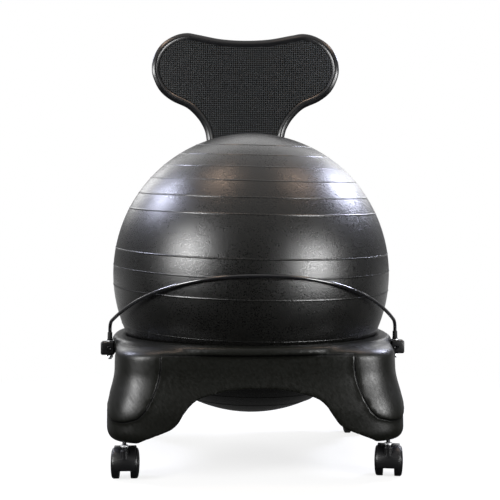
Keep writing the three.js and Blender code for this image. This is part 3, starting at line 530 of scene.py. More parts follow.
def base_radius(angle, height):
    """The base's outline in one direction at one height, before the panels sink."""
    roll_start = BASE_TOP - ROLL
    foot_top = LEG_BOTTOM + FOOT_CURL
    flare = eased(0, FLARE_DEPTH, FLARE_TOP - height)
    down = max(0, min(1, (roll_start - height) / (roll_start - foot_top)))
    curl = max(0, min(1, (foot_top - height) / FOOT_CURL))
    half = WALL_HALF + FLARE * flare - FLARE * (1 - math.sqrt(1 - curl * curl))
    wall = squared_circle(angle, half, SQUARENESS[0] + (SQUARENESS[1] - SQUARENESS[0]) * down)
    rise = max(0, min(1, (height - roll_start) / ROLL))
    over = 1 - math.sqrt(1 - rise * rise)
    return wall + (squared_circle(angle, *TOP_OUTLINE) - wall) * over


def shell_start(height):
    """How far from the middle of the wall the raised shell starts at a height."""
    if height <= SHELL_EDGE[0][0]:
        return SHELL_EDGE[0][1]
    for (a, p), (b, q) in zip(SHELL_EDGE, SHELL_EDGE[1:]):
        if height <= b:
            return p + (q - p) * (height - a) / (b - a)
    return SHELL_EDGE[-1][1]


def shell_distance(across, height):
    """How far a point of a wall lies inside the raised shells and the rim; negative in the sunk panel."""
    point = Vector((across, height))
    nearest = 1.0
    for (low, start), (high, end) in zip(SHELL_EDGE, SHELL_EDGE[1:]):
        a, b = Vector((start, low)), Vector((end, high))
        share = max(0, min(1, (point - a).dot(b - a) / (b - a).length_squared))
        nearest = min(nearest, (point - a.lerp(b, share)).length)
    raised = across > shell_start(height) and height > SHELL_EDGE[0][0]
    return max(nearest if raised else -nearest, height - PANEL_TOP)


def ring_angles():
    """Directions right round, closer together towards the corners."""
    eighth = [math.radians(45) * (1 - (1 - i / EIGHTH_STEPS) ** 1.5) for i in range(EIGHTH_STEPS)]
    quarter = eighth + [math.radians(45)] + [math.radians(90) - a for a in reversed(eighth[1:])]
    return [a + turn * math.radians(90) for turn in range(4) for a in quarter]


def around(angle, radius, height):
    """A point at a radius from the chair's upright middle line."""
    return Vector((radius * math.cos(angle), CHAIR_Y + radius * math.sin(angle), height))


def base_loft():
    """The walls and legs as one solid, with the panels between the raised shells sunk."""
    roll = [BASE_TOP - ROLL * (1 - math.sin(math.radians(90 * i / ROLL_ROWS))) for i in range(ROLL_ROWS + 1)]
    foot = [LEG_BOTTOM + FOOT_CURL * (1 - math.cos(math.radians(90 * i / FOOT_ROWS)))
            for i in range(FOOT_ROWS + 1)]
    wall = [foot[-1] + (roll[0] - foot[-1]) * i / WALL_ROWS for i in range(1, WALL_ROWS)]
    rings = []
    for height in foot + wall + roll:
        ring = []
        for angle in ring_angles():
            radius = base_radius(angle, height)
            across = min(abs(radius * math.cos(angle)), abs(radius * math.sin(angle)))
            radius -= PANEL_SINK * (1 - eased(-PANEL_EASE, PANEL_EASE, shell_distance(across, height)))
            ring.append(around(angle, radius, height))
        rings.append(ring)
    return lofted(rings)


def base_rim():
    """The rounder rim that rolls over the walls, round the ball."""
    face = smooth_line([Vector((inset, height)) for height, inset in RIM_FACE], 5)
    return lofted([[around(a, squared_circle(a, *RIM_OUTLINE) - p.x, p.y) for a in ring_angles()]
                   for p in face])


def arch_cutter(turn):
    """The passage under one pair of arches."""
    half = smooth_line([Vector(point) for point in ARCH_LINE], 6)
    passage = prism([(-p.x, p.y) for p in reversed(half[1:])] + [(p.x, p.y) for p in half],
                    -ARCH_REACH, 2 * ARCH_REACH)
    return moved(passage, Matrix.Translation((0, CHAIR_Y, 0)) @ Matrix.Rotation(math.radians(turn), 4, "Z"))


def seat_cutter():
    """The ball's seat, the opening under it and the rolled lip above it."""
    reach = BALL_RADIUS + SEAT_GAP
    low, high = SEAT_RADII
    radii = [r / 1000 for r in range(low, high + 1, 2)]
    profile = [(0, 0.05), (radii[0], 0.05)]
    profile += [(r, BALL_CENTRE.z - math.sqrt(reach ** 2 - r ** 2)) for r in radii]
    start, top = Vector(profile[-1]), Vector((LIP_RADIUS, BASE_TOP))
    profile += [(p.x, p.y) for p in bend(start, Vector(((start.x + top.x) / 2, top.y)), top, 8)[1:]]
    profile += [(LIP_RADIUS + 0.002, BASE_TOP + 0.01), (0, BASE_TOP + 0.01)]
    return turned(profile, (0, CHAIR_Y, 0), Z_AXIS, 180, unit=1)


def seat_base():
    """The moulding: walls and rim, all that is cut from them, and a fine remesh that softens every edge."""
    parts = [(JOIN, base_rim()), (CUT, arch_cutter(0)), (CUT, arch_cutter(90)), (CUT, seat_cutter())]
    for x in (-CASTER_X, CASTER_X):
        for y in (-CASTER_Y, CASTER_Y):
            parts.append((CUT, rod(SLEEVE_BORE, 50, 104, (x, CHAIR_Y + y, 0), Z_AXIS, 24)))
    for _, side in SIDES:
        # The bush's bore, the recess in which the side block swings, and the one round the back's tube
        parts += [(CUT, rod(BUSH_BORE, 222, 250, PIVOT, (side, 0, 0), 32)),
                  (CUT, rod(BLOCK_RECESS, 240.5, 262, PIVOT, (side, 0, 0), 48)),
                  (CUT, rod(TUBE_RECESS, 200, 230, tube_leg(side, 0), Z_AXIS, 32))]
    mesh = combined(base_loft(), parts,
                    ("REMESH", {"mode": "VOXEL", "voxel_size": VOXEL, "use_smooth_shade": True}),
                    ("SMOOTH", {"factor": 0.5, "iterations": 4}))
    edge = mesh.attributes.new("shell_edge", "FLOAT", "POINT")
    for vert, value in zip(mesh.vertices, edge.data):
        across = min(abs(vert.co.x), abs(vert.co.y - CHAIR_Y))
        value.value = shell_distance(across, vert.co.z)
    return dressed("seat_base_moulding", mesh, "seat_base", 75)


seat_base()


# Ball

SEAM_LATITUDES = (-61.3, -52.7, -44.7, -36.9, -28.9, -21.5, -5.1, 3.0, 10.0, 27.0, 34.2, 42.0, 49.5, 57.2,
                  65.2)
# The upper half is drawn up a little: the ball stands about 4.5 mm taller than a true sphere in its seat
BALL_STRETCH = 1.018
SEAM_HALF_WIDTH = 0.0012
SEAM_RISE = 0.0006
# A seam's section: shares of its half width and of its rise
SEAM_SECTION = ((-1.6, 0), (-1, 0), (-0.5, 0.8), (0, 1), (0.5, 0.8), (1, 0), (1.6, 0))
SEAM_REACH = SEAM_SECTION[-1][0]
# How far the ball is tipped in its seat, about X and about Y, in degrees
BALL_TIP = (2.56, 1.26)
SKIN_CLEARANCE = 0.0002


def seat_ball():
    """The ball with its raised seams, spun about its own axis, then tipped as it lies in the seat."""
    half = math.degrees(SEAM_HALF_WIDTH / BALL_RADIUS)
    stops = [(-90, 0)]
    for low, high in zip((-90,) + SEAM_LATITUDES, SEAM_LATITUDES + (90,)):
        start = low + (SEAM_REACH * half if low > -90 else 0)
        end = high - (SEAM_REACH * half if high < 90 else 0)
        count = max(2, round((end - start) / 2))
        stops += [(start + (end - start) * i / count, 0) for i in range(1, count)]
        if high < 90:
            stops += [(high + half * along, SEAM_RISE * rise) for along, rise in SEAM_SECTION]
    stops.append((90, 0))
    profile = []
    for latitude, rise in stops:
        radius = BALL_RADIUS - SKIN_CLEARANCE + rise
        profile.append((radius * math.cos(math.radians(latitude)), radius * math.sin(math.radians(latitude))))
    profile[0] = (0, profile[0][1])
    profile[-1] = (0, profile[-1][1])
    tip = (Matrix.Rotation(math.radians(BALL_TIP[0]), 3, "X")
           @ Matrix.Rotation(math.radians(BALL_TIP[1]), 3, "Y"))
    shape = turned(profile, BALL_CENTRE, tip @ Vector(Z_AXIS), 160, unit=1)
    bmesh.ops.scale(shape, vec=(1, 1, BALL_STRETCH), space=Matrix.Translation(-BALL_CENTRE),
                    verts=[v for v in shape.verts if v.co.z > BALL_CENTRE.z])
    return mesh_piece("inflated_ball", shape, "ball_shell", 60)


seat_ball()


# Guard bar and its blocks

BAR_RADIUS = 0.003
BAR_X = 0.2497
BAR_FOOT = 0.1837
BAR_BEND = 0.011
SHOULDER_HEIGHT = 0.247
# The top of the bar, in front of the ball: its height, and its distance from the ball's centre
APEX_HEIGHT = 0.336
APEX_REACH = 0.2533
BLOCK_X = 0.2533
BLOCK_SIZE = (0.0238, 0.0198, 0.0232)
BLOCK_ROUNDING = 0.0032
# Half a nut across its corners, and in mm the radius of the holes for the rod
NUT_CORNER = 0.00577
ROD_HOLE = 3.3


def bar_line():
    """The rod from the left nut, over the left shoulder, round the front, and down to the right nut."""
    forward = math.sqrt(APEX_REACH ** 2 - (APEX_HEIGHT - BALL_CENTRE.z) ** 2) - PIVOT_FORWARD
    rise = APEX_HEIGHT - SHOULDER_HEIGHT
    reach = math.hypot(forward, rise)

    def in_plane(across, along):
        return Vector((across, PIVOT.y - along * forward / reach, SHOULDER_HEIGHT + along * rise / reach))
    # The sweep's two control points are shares of the bar's half width and of its reach
    shoulder, apex = in_plane(BAR_X, 0), in_plane(0, reach)
    first, second = in_plane(0.781 * BAR_X, 0.647 * reach), in_plane(0.481 * BAR_X, reach)
    below = Vector((BAR_X, PIVOT.y, SHOULDER_HEIGHT - BAR_BEND))
    beyond = shoulder + (first - shoulder).normalized() * BAR_BEND
    sweep = [beyond * (1 - t) ** 3 + first * 3 * t * (1 - t) ** 2 + second * 3 * t * t * (1 - t)
             + apex * t ** 3 for t in (i / 40 for i in range(1, 41))]
    right = [Vector((BAR_X, PIVOT.y, BAR_FOOT))] + bend(below, shoulder, beyond, 10) + sweep
    return [Vector((-p.x, p.y, p.z)) for p in right] + list(reversed(right[:-1]))


mesh_piece("guard_bar_rod", swept(bar_line(), BAR_RADIUS, 6), "guard_bar", 60)


def side_block(name, side):
    """A moulded block with softened edges, a trunnion into the base, and a recess for the clamp screw."""
    shape = block(BLOCK_SIZE, ORIGIN)
    rounded(shape, shape.edges[:], BLOCK_ROUNDING, 4)
    moved(shape, Matrix.Translation((side * BLOCK_X, PIVOT.y, PIVOT.z)))
    trunnion = turned([(0, 224.2), (5.8, 224.2), (6, 224.6), (6, 246), (0, 246)], PIVOT, (side, 0, 0), 32)
    mesh = combined(shape, [(JOIN, trunnion),
                            (CUT, rod(ROD_HOLE, 186, 220, (side * BAR_X, PIVOT.y, 0), Z_AXIS, 24)),
                            (CUT, rod(4.9, -15, -7.2, (side * BAR_X, PIVOT.y, PIVOT.z), Y_AXIS, 24))])
    return dressed(f"side_block_{name}", mesh, f"bar_block_{name}", 35)


def clamp_screw(name, side):
    """A pan head with a hexagon socket, sunk in the front of its block."""
    shape = turned([(0, 7.8), (1.4, 7.8), (2, 9.2), (2.2, 9.8), (3.6, 9.9), (4.3, 9.4), (4.5, 8.4),
                    (4.5, 7.6), (2, 7.6), (2, 3.4), (0, 3.4)],
                   (side * BAR_X, PIVOT.y, PIVOT.z), (0, -1, 0), 32)
    return mesh_piece(f"clamp_screw_head_{name}", shape, f"clamp_screw_{name}", 35)


def hex_nut(name, side):
    """A hexagon nut with chamfered corners round the rod."""
    low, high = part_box(f"bar_nut_{name}")
    shape = bmesh.new()
    bmesh.ops.create_cone(shape, cap_ends=True, segments=6, radius1=NUT_CORNER, radius2=NUT_CORNER,
                          depth=high.z - low.z)
    chamfer = turned([(0, -2.4), (5, -2.4), (5.9, -1.8), (5.9, 1.8), (5, 2.4), (0, 2.4)], steps=36)
    mesh = combined(shape, [(COMMON, chamfer), (CUT, rod(ROD_HOLE, -10, 10, steps=24))])
    mesh.transform(Matrix.Translation((side * BAR_X, PIVOT.y, (low.z + high.z) / 2)))
    return dressed(f"rod_nut_{name}", mesh, f"bar_nut_{name}", 30)


def rod_sleeve(name, side):
    """A short rubber sleeve with a rolled lower lip, over the rod."""
    foot, top = (corner.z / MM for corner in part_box(f"bar_sleeve_{name}"))
    shape = turned([(3.3, foot), (4.7, foot), (4.9, foot + 0.4), (4.9, foot + 1.6), (4.3, foot + 2.2),
                    (4.1, top - 1), (3.6, top), (3.3, top), (3.3, foot)],
                   (side * BAR_X, PIVOT.y, 0), Z_AXIS, 32)
    return mesh_piece(f"rod_sleeve_{name}", shape, f"bar_sleeve_{name}", 40)


for side_name, sign in SIDES:
    side_block(side_name, sign)
    clamp_screw(side_name, sign)
    hex_nut(side_name, sign)
    rod_sleeve(side_name, sign)


# Back and its frame

LEAN = math.radians(3)
TUBE_RADIUS = 0.011
TUBE_WALL = 0.0018
TUBE_BEND = 0.215
TUBE_TOP = 0.748
TUBE_BOTTOM = 0.160
KNEE = 0.030
BACK_TOP = 0.808
BACK_BOTTOM = 0.545
BACK_HALF = 0.1906
BACK_CURVE = 0.620
RIM_RADIUS = 0.0065
PLATE_THICKNESS = 0.005
PANEL_THICKNESS = 0.002
PANEL_PROUD = 0.0023
# How far the plate and the panel are drawn in from the outline
PLATE_INSET = 0.0125
PANEL_INSET = 0.0153
PLATE_MIDDLE = BACK_CURVE + PLATE_THICKNESS / 2
PLATE_CENTRE = -(TUBE_RADIUS + 0.0003) - (PLATE_MIDDLE + RIM_RADIUS)
# Where the middle of the plate is at the tube's two legs: less than 0, so ahead of the tube
PLATE_AT_TUBE = PLATE_CENTRE + math.sqrt(PLATE_MIDDLE ** 2 - TUBE_SPAN ** 2)
BASE_SCREWS = (0.174, 0.198)
BACK_SCREWS = (0.590, 0.672)
# In mm: the radius of the tube's screw holes, and where the base screws end, measured from the tube's middle
SCREW_HOLE = 3.1
BASE_SCREW_TIP = -17.3
# The outline of the back, from the middle of its top round to its foot: shares of half width and of height
BACK_OUTLINE = [(0, 0.952), (0.262, 0.961), (0.502, 0.989), (0.632, 0.999), (0.762, 0.972), (0.892, 0.905),
                (0.976, 0.806), (1, 0.696), (0.968, 0.605), (0.902, 0.525), (0.787, 0.462), (0.627, 0.411),
                (0.525, 0.344), (0.462, 0.278), (0.427, 0.213), (0.409, 0.114), (0.39, 0.035), (0.31, 0),
                (0.12, 0)]
# The section of the rolled rim, in mm: distance in from the outline, and depth behind the plate's middle
RIM_SECTION = [(0, 0.2), (0.6, -1.2), (2.1, -2.6), (4.2, -4.1), (6.3, -5.4), (8.4, -6.1), (10.6, -5.8),
               (13.2, -4.6), (15.6, -3.1), (17.4, -2.0), (17.0, 1.6), (14.4, 3.0), (11.6, 5.1), (8.8, 6.3),
               (6.2, 6.5), (3.6, 5.8), (1.4, 4.1), (0.3, 2.0)]


def up_lean(height):
    """How far up the leaning tube a height is."""
    return (height - TUBE_BEND) / math.cos(LEAN)


# The place of the leaning back: its own Z runs up the tube from the bend
LEANED = Matrix.Translation(tube_leg(0, TUBE_BEND)) @ Matrix.Rotation(-LEAN, 4, "X")


def back_outline(inset):
    """The outline, drawn in by inset, as points across and up the leaning plane."""
    low, high = up_lean(BACK_BOTTOM), up_lean(BACK_TOP)
    half = [Vector((across * BACK_HALF, low + (high - low) * up)) for across, up in BACK_OUTLINE]
    whole = half + [Vector((-p.x, p.y)) for p in reversed(half[1:])]
    line = smooth_line(whole, 6, closed=True)
    moved_in = []
    for i, point in enumerate(line):
        along = (line[(i + 1) % len(line)] - line[i - 1]).normalized()
        moved_in.append(Vector((point.x + along.y * inset, point.y - along.x * inset)))
    return moved_in


def back_rim():
    """The rolled rim: full and round outside, with a long shallow slope down to the panel."""
    section = smooth_line([Vector(point) * MM for point in RIM_SECTION], 3, closed=True)
    rings = [[Vector((p.x, PLATE_CENTRE + math.sqrt(PLATE_MIDDLE ** 2 - p.x ** 2) + depth, p.y))
              for p in back_outline(inset)] for inset, depth in section]
    return lofted(rings, looped=True)


def bent_plate(inset, front, thickness, strips=60):
    """A plate inside the outline, bent about an upright axis with its front at a radius."""
    shape = bmesh.new()
    shape.faces.new([shape.verts.new((p.x, 0, p.y)) for p in back_outline(inset)])
    for i in range(1, strips):
        x = BACK_HALF * (2 * i / strips - 1)
        bmesh.ops.bisect_plane(shape, geom=shape.verts[:] + shape.edges[:] + shape.faces[:],
                               plane_co=(x, 0, 0), plane_no=X_AXIS)
    for vert in shape.verts:
        vert.co.y = PLATE_CENTRE + math.sqrt(front ** 2 - vert.co.x ** 2)
    bmesh.ops.recalc_face_normals(shape, faces=shape.faces)
    made = bmesh.ops.extrude_face_region(shape, geom=shape.faces[:])["geom"]
    for vert in verts_of(made):
        vert.co.y += thickness
    return shape


def back_shell():
    """The plate, its rolled rim and the four pads that sit on the tube, all one moulding."""
    plate = PLATE_AT_TUBE / MM
    pads, holes = [], []
    for _, side in SIDES:
        for height in BACK_SCREWS:
            centre = (side * TUBE_SPAN, 0, up_lean(height))
            pads.append((JOIN, turned([(0, plate), (9.5, plate), (8, plate + 3), (8, -5.5), (0, -5.5)],
                                      centre, Y_AXIS, 32)))
            holes.append((CUT, rod(3, plate - 0.5, 0, centre, Y_AXIS, 20)))
        # The hollow in which the tube lies
        holes.append((CUT, rod(11.4, 300, 500, (side * TUBE_SPAN, 0, 0), Z_AXIS, 48)))
    mesh = combined(bent_plate(PLATE_INSET, BACK_CURVE, PLATE_THICKNESS), pads + holes)
    shape = back_rim()
    shape.from_mesh(mesh)
    return mesh_piece("back_moulding", moved(shape, LEANED), "back_shell", 40)


def back_panel():
    """The grained panel inside the rim, a little proud of the plate."""
    shape = bent_plate(PANEL_INSET, BACK_CURVE - PANEL_PROUD, PANEL_THICKNESS)
    return mesh_piece("back_grained_panel", moved(shape, LEANED), "back_panel", 40)


def frame_tube():
    """The bent steel tube, hollow, upright at the base and leaning above it."""
    top = up_lean(TUBE_TOP) - TUBE_SPAN
    arch = [LEANED @ Vector((TUBE_SPAN * math.cos(a), 0, top + TUBE_SPAN * math.sin(a)))
            for a in (math.radians(180 - 180 * i / 36) for i in range(37))]

    def foot(side):
        low, before, knee = (tube_leg(side, z) for z in (TUBE_BOTTOM, TUBE_BEND - KNEE, TUBE_BEND))
        return [low] + bend(before, knee, LEANED @ Vector((side * TUBE_SPAN, 0, KNEE)), 8)
    line = foot(-1) + arch + list(reversed(foot(1)))
    past = Vector((0, 0, 0.01))
    parts = [(CUT, swept([line[0] - past] + line + [line[-1] - past], TUBE_RADIUS - TUBE_WALL, 6))]
    for _, side in SIDES:
        for height in BASE_SCREWS:
            parts.append((CUT, rod(SCREW_HOLE, -20, 20, tube_leg(side, height), Y_AXIS, 20)))
        for height in BACK_SCREWS:
            hole = rod(SCREW_HOLE, -20, 20, (side * TUBE_SPAN, 0, up_lean(height)), Y_AXIS, 20)
            parts.append((CUT, moved(hole, LEANED)))
    return dressed("back_frame_tube", combined(swept(line, TUBE_RADIUS, 8), parts), "back_frame", 40)


def frame_screw(name, replaced, tip, place):
    """A pan-head screw with a hexagon socket, its head behind the tube and its tip at this depth in mm."""
    shape = turned([(0, tip), (1.9, tip), (2.5, tip + 1.2), (2.5, 11.3), (5.2, 11.3), (5.1, 12.6),
                    (4.5, 13.8), (3.4, 14.4), (2.4, 14.5), (2.2, 14.2), (2.1, 12.5), (0, 12.5)],
                   ORIGIN, Y_AXIS, 28)
    return mesh_piece(name, moved(shape, place), replaced, 35)


back_shell()
back_panel()
frame_tube()
for side_name, sign in SIDES:
    for number, height in enumerate(BASE_SCREWS, 1):
        frame_screw(f"base_screw_{side_name}_{number}", f"frame_bolt_{side_name}_{number}", BASE_SCREW_TIP,
                    Matrix.Translation(tube_leg(sign, height)))
    for number, height in enumerate(BACK_SCREWS, 1):
        frame_screw(f"plate_screw_{side_name}_{number}", f"back_screw_{side_name}_{number}",
                    PLATE_AT_TUBE / MM, LEANED @ Matrix.Translation((sign * TUBE_SPAN, 0, up_lean(height))))


# Casters

# Each caster is made at its stem, facing ahead, with its axle behind the stem
AXLE_Y = 0.020
AXLE_Z = 0.025
AXLE = (0, AXLE_Y, AXLE_Z)
# The hood's band: its two radii round the axle, half its width, and how low it comes down
HOOD_INNER = 0.0259
HOOD_OUTER = 0.0285
HOOD_HALF = 0.018
HOOD_FOOT = 0.017
HOOD_ROUNDING = 0.0008
# In mm: the web between the wheels, and the radii of the holes for the stem and the axle
WEB_RADIUS = 27.2
WEB_HALF = 8.9
STEM_HOLE = 3.5
AXLE_HOLE = 3.3
# The groove along the hood's top: half its section, where it starts behind the stem, and its length
GROOVE = [(0.0035, 0.0493), (0.006, 0.0535), (0.006, 0.0555)]
GROOVE_START = AXLE_Y - 0.0145
GROOVE_LENGTH = 0.0430
PEDAL_TILT = Matrix.Rotation(math.radians(20), 4, "X")
PEDAL_SIZE = (0.0158, 0.0148, 0.003)
PEDAL_ROUNDING = 0.0009
# How far out the pedal's ribs lie, and in mm the radius of the hole for its pin
PEDAL_RIBS = (0.0055, 0.0080, 0.0105)
PIN_HOLE = 1.7


def caster_place(x, y, swivel):
    """Where a caster's stem stands on the floor, and how it is turned."""
    return (Matrix.Translation((x * CASTER_X, CHAIR_Y + y * CASTER_Y, 0))
            @ Matrix.Rotation(math.radians(swivel), 4, "Z"))


def brake_pin_centre(spot, place):
    """The middle of the brake's pin, as seen from the stem."""
    low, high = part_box(f"brake_pin_{spot}")
    hub = place.inverted() @ ((low + high) / 2)
    return Vector((0, hub.y, hub.z))


def caster_wheel(spot, side_name, sign, place):
    """A moulded wheel: a soft-edged tread, a shallow ring groove on its domed face, and a small hub cap."""
    shape = turned([(0, 18.3), (3.35, 18.3), (3.35, 9.5), (7.2, 9.5), (7.2, 10.2), (23.5, 10.2), (23.8, 9.6),
                    (24.4, 9.6), (24.9, 10.2), (25, 11), (25, 18.4), (24.7, 19.4), (23.9, 20.6), (22.2, 21.5),
                    (20.6, 22), (20.3, 21.6), (19.7, 21.6), (19.4, 22.2), (16, 22.7), (10, 23.2), (6.2, 23.4),
                    (6, 22.9), (5.5, 22.9), (5.3, 23.5), (3, 23.6), (0, 23.6)], AXLE, (sign, 0, 0), 56)
    return mesh_piece(f"twin_wheel_{spot}_{side_name}", moved(shape, place),
                      f"caster_wheel_{spot}_{side_name}", 35)


def hood_band():
    """The band over both wheels, spun round the axle from its front edge to its rear one, and rounded."""
    dip = math.asin((AXLE_Z - HOOD_FOOT) / HOOD_OUTER)
    corners = [(-HOOD_HALF, HOOD_INNER), (HOOD_HALF, HOOD_INNER), (HOOD_HALF, HOOD_OUTER),
               (-HOOD_HALF, HOOD_OUTER)]
    shape = bmesh.new()
    face = shape.faces.new([shape.verts.new((x, AXLE_Y + r * math.cos(-dip), AXLE_Z + r * math.sin(-dip)))
                            for x, r in corners])
    bmesh.ops.spin(shape, geom=[face], cent=AXLE, axis=X_AXIS, angle=math.pi + 2 * dip, steps=44)
    bmesh.ops.recalc_face_normals(shape, faces=shape.faces)
    edges = [e for e in shape.edges if e.calc_face_angle(0) > math.radians(60)]
    return rounded(shape, edges, HOOD_ROUNDING, 2)


def caster_hood(spot, place, braked):
    """The hood over both wheels, with the web between them, the stem's boss, and the groove on its top."""
    web = rod(WEB_RADIUS, -WEB_HALF, WEB_HALF, AXLE, X_AXIS, 72)
    below = block((0.03, 0.08, 0.03), (0, AXLE_Y, HOOD_FOOT - 0.015))
    boss = turned([(0, 18.8), (6.2, 18.8), (6.8, 19.6), (6.8, 49), (6, 50), (0, 50)], steps=32)
    groove = prism([(-x, z) for x, z in reversed(GROOVE)] + GROOVE, GROOVE_START, GROOVE_LENGTH)
    parts = [(JOIN, web), (CUT, below), (JOIN, boss)]
    cuts = [(CUT, groove), (CUT, rod(STEM_HOLE, 23.7, 56)), (CUT, rod(AXLE_HOLE, -20, 20, AXLE, X_AXIS))]
    if braked:
        # Ears for the brake's pin, the slot between them for its lever, and the pin's hole
        hub = brake_pin_centre(spot, place)
        parts.append((JOIN, turned([(0, -12), (2.8, -12), (3.2, -11.6), (3.2, 11.6), (2.8, 12), (0, 12)],
                                   hub, X_AXIS, 28)))
        cuts += [(CUT, rod(3.8, -8.3, 8.3, hub, X_AXIS)), (CUT, rod(PIN_HOLE, -14, 14, hub, X_AXIS, 20))]
    mesh = combined(hood_band(), parts + cuts)
    mesh.transform(place)
    return dressed(f"wheel_hood_{spot}", mesh, f"caster_hood_{spot}", 35)


def caster_stem(spot, place):
    """The stem with its collar and a grip ring near its top."""
    shape = turned([(0, 24), (2.8, 24), (3.2, 24.5), (3.2, 55.5), (6, 55.8), (6.6, 56.3), (6.6, 58),
                    (6, 58.7), (3.6, 58.9), (3.2, 59.5), (3.2, 90), (2.9, 90.5), (2.9, 92.5), (3.2, 93),
                    (3.2, 98), (2, 100.5), (0, 100.7)], steps=28)
    stem = mesh_piece(f"swivel_stem_{spot}", moved(shape, place), f"caster_stem_{spot}", 35)
    stem.data.materials[0] = STEM_FINISH


def stem_socket(spot, place):
    """The steel sleeve pressed into the leg, with its flange under the foot."""
    shape = turned([(3.55, 65), (7.6, 65), (8, 65.3), (8, 66.2), (7.8, 66.4), (5.15, 66.4), (5.15, 101),
                    (3.55, 101), (3.55, 65)], steps=32)
    return mesh_piece(f"stem_sleeve_{spot}", moved(shape, place), f"caster_socket_{spot}", 35)


def brake_pedal(spot, place):
    """The brake lever: a hub on its pin and a ribbed pedal."""
    centre = brake_pin_centre(spot, place)
    tilted = Matrix.Translation(centre) @ PEDAL_TILT
    pedal = block(PEDAL_SIZE, ORIGIN)
    rounded(pedal, pedal.edges[:], PEDAL_ROUNDING, 2)
    moved(pedal, Matrix.Translation((0, PEDAL_SIZE[1] / 2, 0)))
    moved(pedal, tilted)
    parts = [(JOIN, turned([(0, -8), (3, -8), (3.2, -7.8), (3.2, 7.8), (3, 8), (0, 8)], centre, X_AXIS, 28))]
    for along in PEDAL_RIBS:
        rib = turned([(0, -6.8), (0.5, -6.6), (0.6, 0), (0.5, 6.6), (0, 6.8)],
                     (0, along, PEDAL_SIZE[2] / 2), X_AXIS, 12)
        parts.append((JOIN, moved(rib, tilted)))
    parts.append((CUT, rod(PIN_HOLE, -10, 10, centre, X_AXIS, 20)))
    mesh = combined(pedal, parts)
    mesh.transform(place)
    return dressed(f"brake_pedal_{spot}", mesh, f"brake_lever_{spot}", 35)


for spot, x, y, swivel in CASTER_SPOTS:
    place = caster_place(x, y, swivel)
    for side_name, sign in SIDES:
        caster_wheel(spot, side_name, sign, place)
    caster_hood(spot, place, y > 0)
    caster_stem(spot, place)
    stem_socket(spot, caster_place(x, y, 0))
    if y > 0:
        brake_pedal(spot, place)


# Stage: a white floor that keeps the chair's shadow, a white surround, and soft studio lamps

WHITE = (1, 1, 1, 1)


def stage_white(tree, place):
    # Painted studio floor: white to the camera, apart from a soft contact shadow, and in reflections dim in
    # front of the chair and bright far behind it
    rays = node(tree, "LightPath")
    far = node(tree, "VectorMath", {0: place}, {1: (0, CHAIR_Y, 0)}, operation="DISTANCE")
    # Beyond the chair's own shadow the floor fades into the white surround
    fade = node(tree, "MapRange", {"Value": far.outputs["Value"]},
                {"From Min": 0.4, "From Max": 1.1, "To Min": 0.8, "To Max": 1.0})
    share = node(tree, "Math", {0: rays.outputs["Is Camera Ray"], 1: fade}, operation="MULTIPLY")
    albedo = node(tree, "Math", {0: rays.outputs["Is Camera Ray"]}, {1: 0.6, 2: 0.3},
                  operation="MULTIPLY_ADD")
    lit = node(tree, "BsdfDiffuse", {"Color": albedo})
    axes = node(tree, "SeparateXYZ", {"Vector": place})
    behind = node(tree, "MapRange", {"Value": axes.outputs["Y"]},
                  {"From Min": -0.25, "From Max": 2.6, "To Min": 0.015, "To Max": 0.8})
    mirrored = node(tree, "Emission", {"Strength": behind}, {"Color": WHITE})
    white = node(tree, "Emission", values={"Color": WHITE, "Strength": 1.0})
    unseen = node(tree, "MixShader", {0: rays.outputs["Is Glossy Ray"], 1: lit, 2: mirrored})
    return node(tree, "MixShader", {0: share, 1: unseen, 2: white})


floor_shape = bmesh.new()
bmesh.ops.create_grid(floor_shape, x_segments=1, y_segments=1, size=6)
floor_mesh = bpy.data.meshes.new("studio_floor")
floor_shape.to_mesh(floor_mesh)
floor_shape.free()
floor_mesh.materials.append(material("studio_floor_paint", stage_white))
floor = in_scene("studio_floor", floor_mesh)

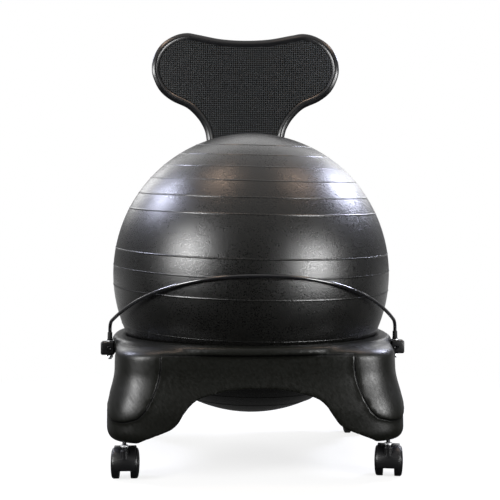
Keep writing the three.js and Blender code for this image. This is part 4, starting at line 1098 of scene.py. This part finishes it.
# The surround: white to the camera; in reflections white behind and above the chair and dark towards the lens
world = bpy.data.worlds.new("studio_surround")
bpy.context.scene.world = world
world.use_nodes = True
tree = world.node_tree
tree.nodes.clear()
rays = node(tree, "LightPath")
toward = node(tree, "SeparateXYZ", {"Vector": node(tree, "TexCoord").outputs["Generated"]})
rearward = node(tree, "Math", {0: toward.outputs["Y"], 2: toward.outputs["Z"]}, {1: 0.25},
                operation="MULTIPLY_ADD")
sky = node(tree, "MapRange", {"Value": rearward},
           {"From Min": 0.0, "From Max": 1.0, "To Min": 0.01, "To Max": 0.85})
mirrored = node(tree, "Math", {0: rays.outputs["Is Glossy Ray"], 1: rays.outputs["Is Transmission Ray"]},
                operation="MAXIMUM")
dim = node(tree, "Background", values={"Color": WHITE, "Strength": 0.14})
reflected = node(tree, "Background", {"Strength": sky}, {"Color": WHITE})
bright = node(tree, "Background", values={"Color": WHITE, "Strength": 1.0})
unseen = node(tree, "MixShader", {0: mirrored, 1: dim, 2: reflected})
seen = node(tree, "MixShader", {0: rays.outputs["Is Camera Ray"], 1: unseen, 2: bright})
node(tree, "OutputWorld", {"Surface": seen})


LAMP_AIM = Vector((0, CHAIR_Y, 0.4))


def softbox(name, toward, size, power, colour="#ffffff", distance=2.2):
    """A soft lamp in a direction from the chair, facing it."""
    data = bpy.data.lights.new(name, "AREA")
    data.shape = "RECTANGLE"
    data.size, data.size_y = size
    data.energy = power
    data.color = linear(colour)[:3]
    lamp = in_scene(name, data)
    lamp.location = LAMP_AIM + Vector(toward).normalized() * distance
    lamp.rotation_euler = (LAMP_AIM - lamp.location).to_track_quat("-Z", "Y").to_euler()


softbox("front_left_box", (-0.785, -0.577, 0.238), (0.8, 0.8), 60)
softbox("front_right_box", (0.735, -0.67, 0.09), (0.8, 0.8), 60)
softbox("rear_left_box", (-0.756, 0.263, 0.599), (0.5, 0.5), 40, "#e2e6ff")
softbox("rear_right_box", (0.713, 0.417, 0.562), (0.5, 0.5), 52, "#e2e6ff")
softbox("rear_left_edge", (-0.50, 0.78, 0.38), (0.7, 0.7), 7)
softbox("rear_right_edge", (0.50, 0.78, 0.38), (0.7, 0.7), 6)
softbox("front_left_warm", (-0.34, -0.12, 0.93), (0.35, 0.35), 9, "#ffdcc0")
softbox("front_right_warm", (0.48, -0.06, 0.87), (0.35, 0.35), 7.5, "#ffdcc0")
softbox("overhead_rear_box", (0, 0.72, 0.75), (2.6, 1.2), 16, distance=2.6)

bpy.context.scene.view_settings.view_transform = "Standard"
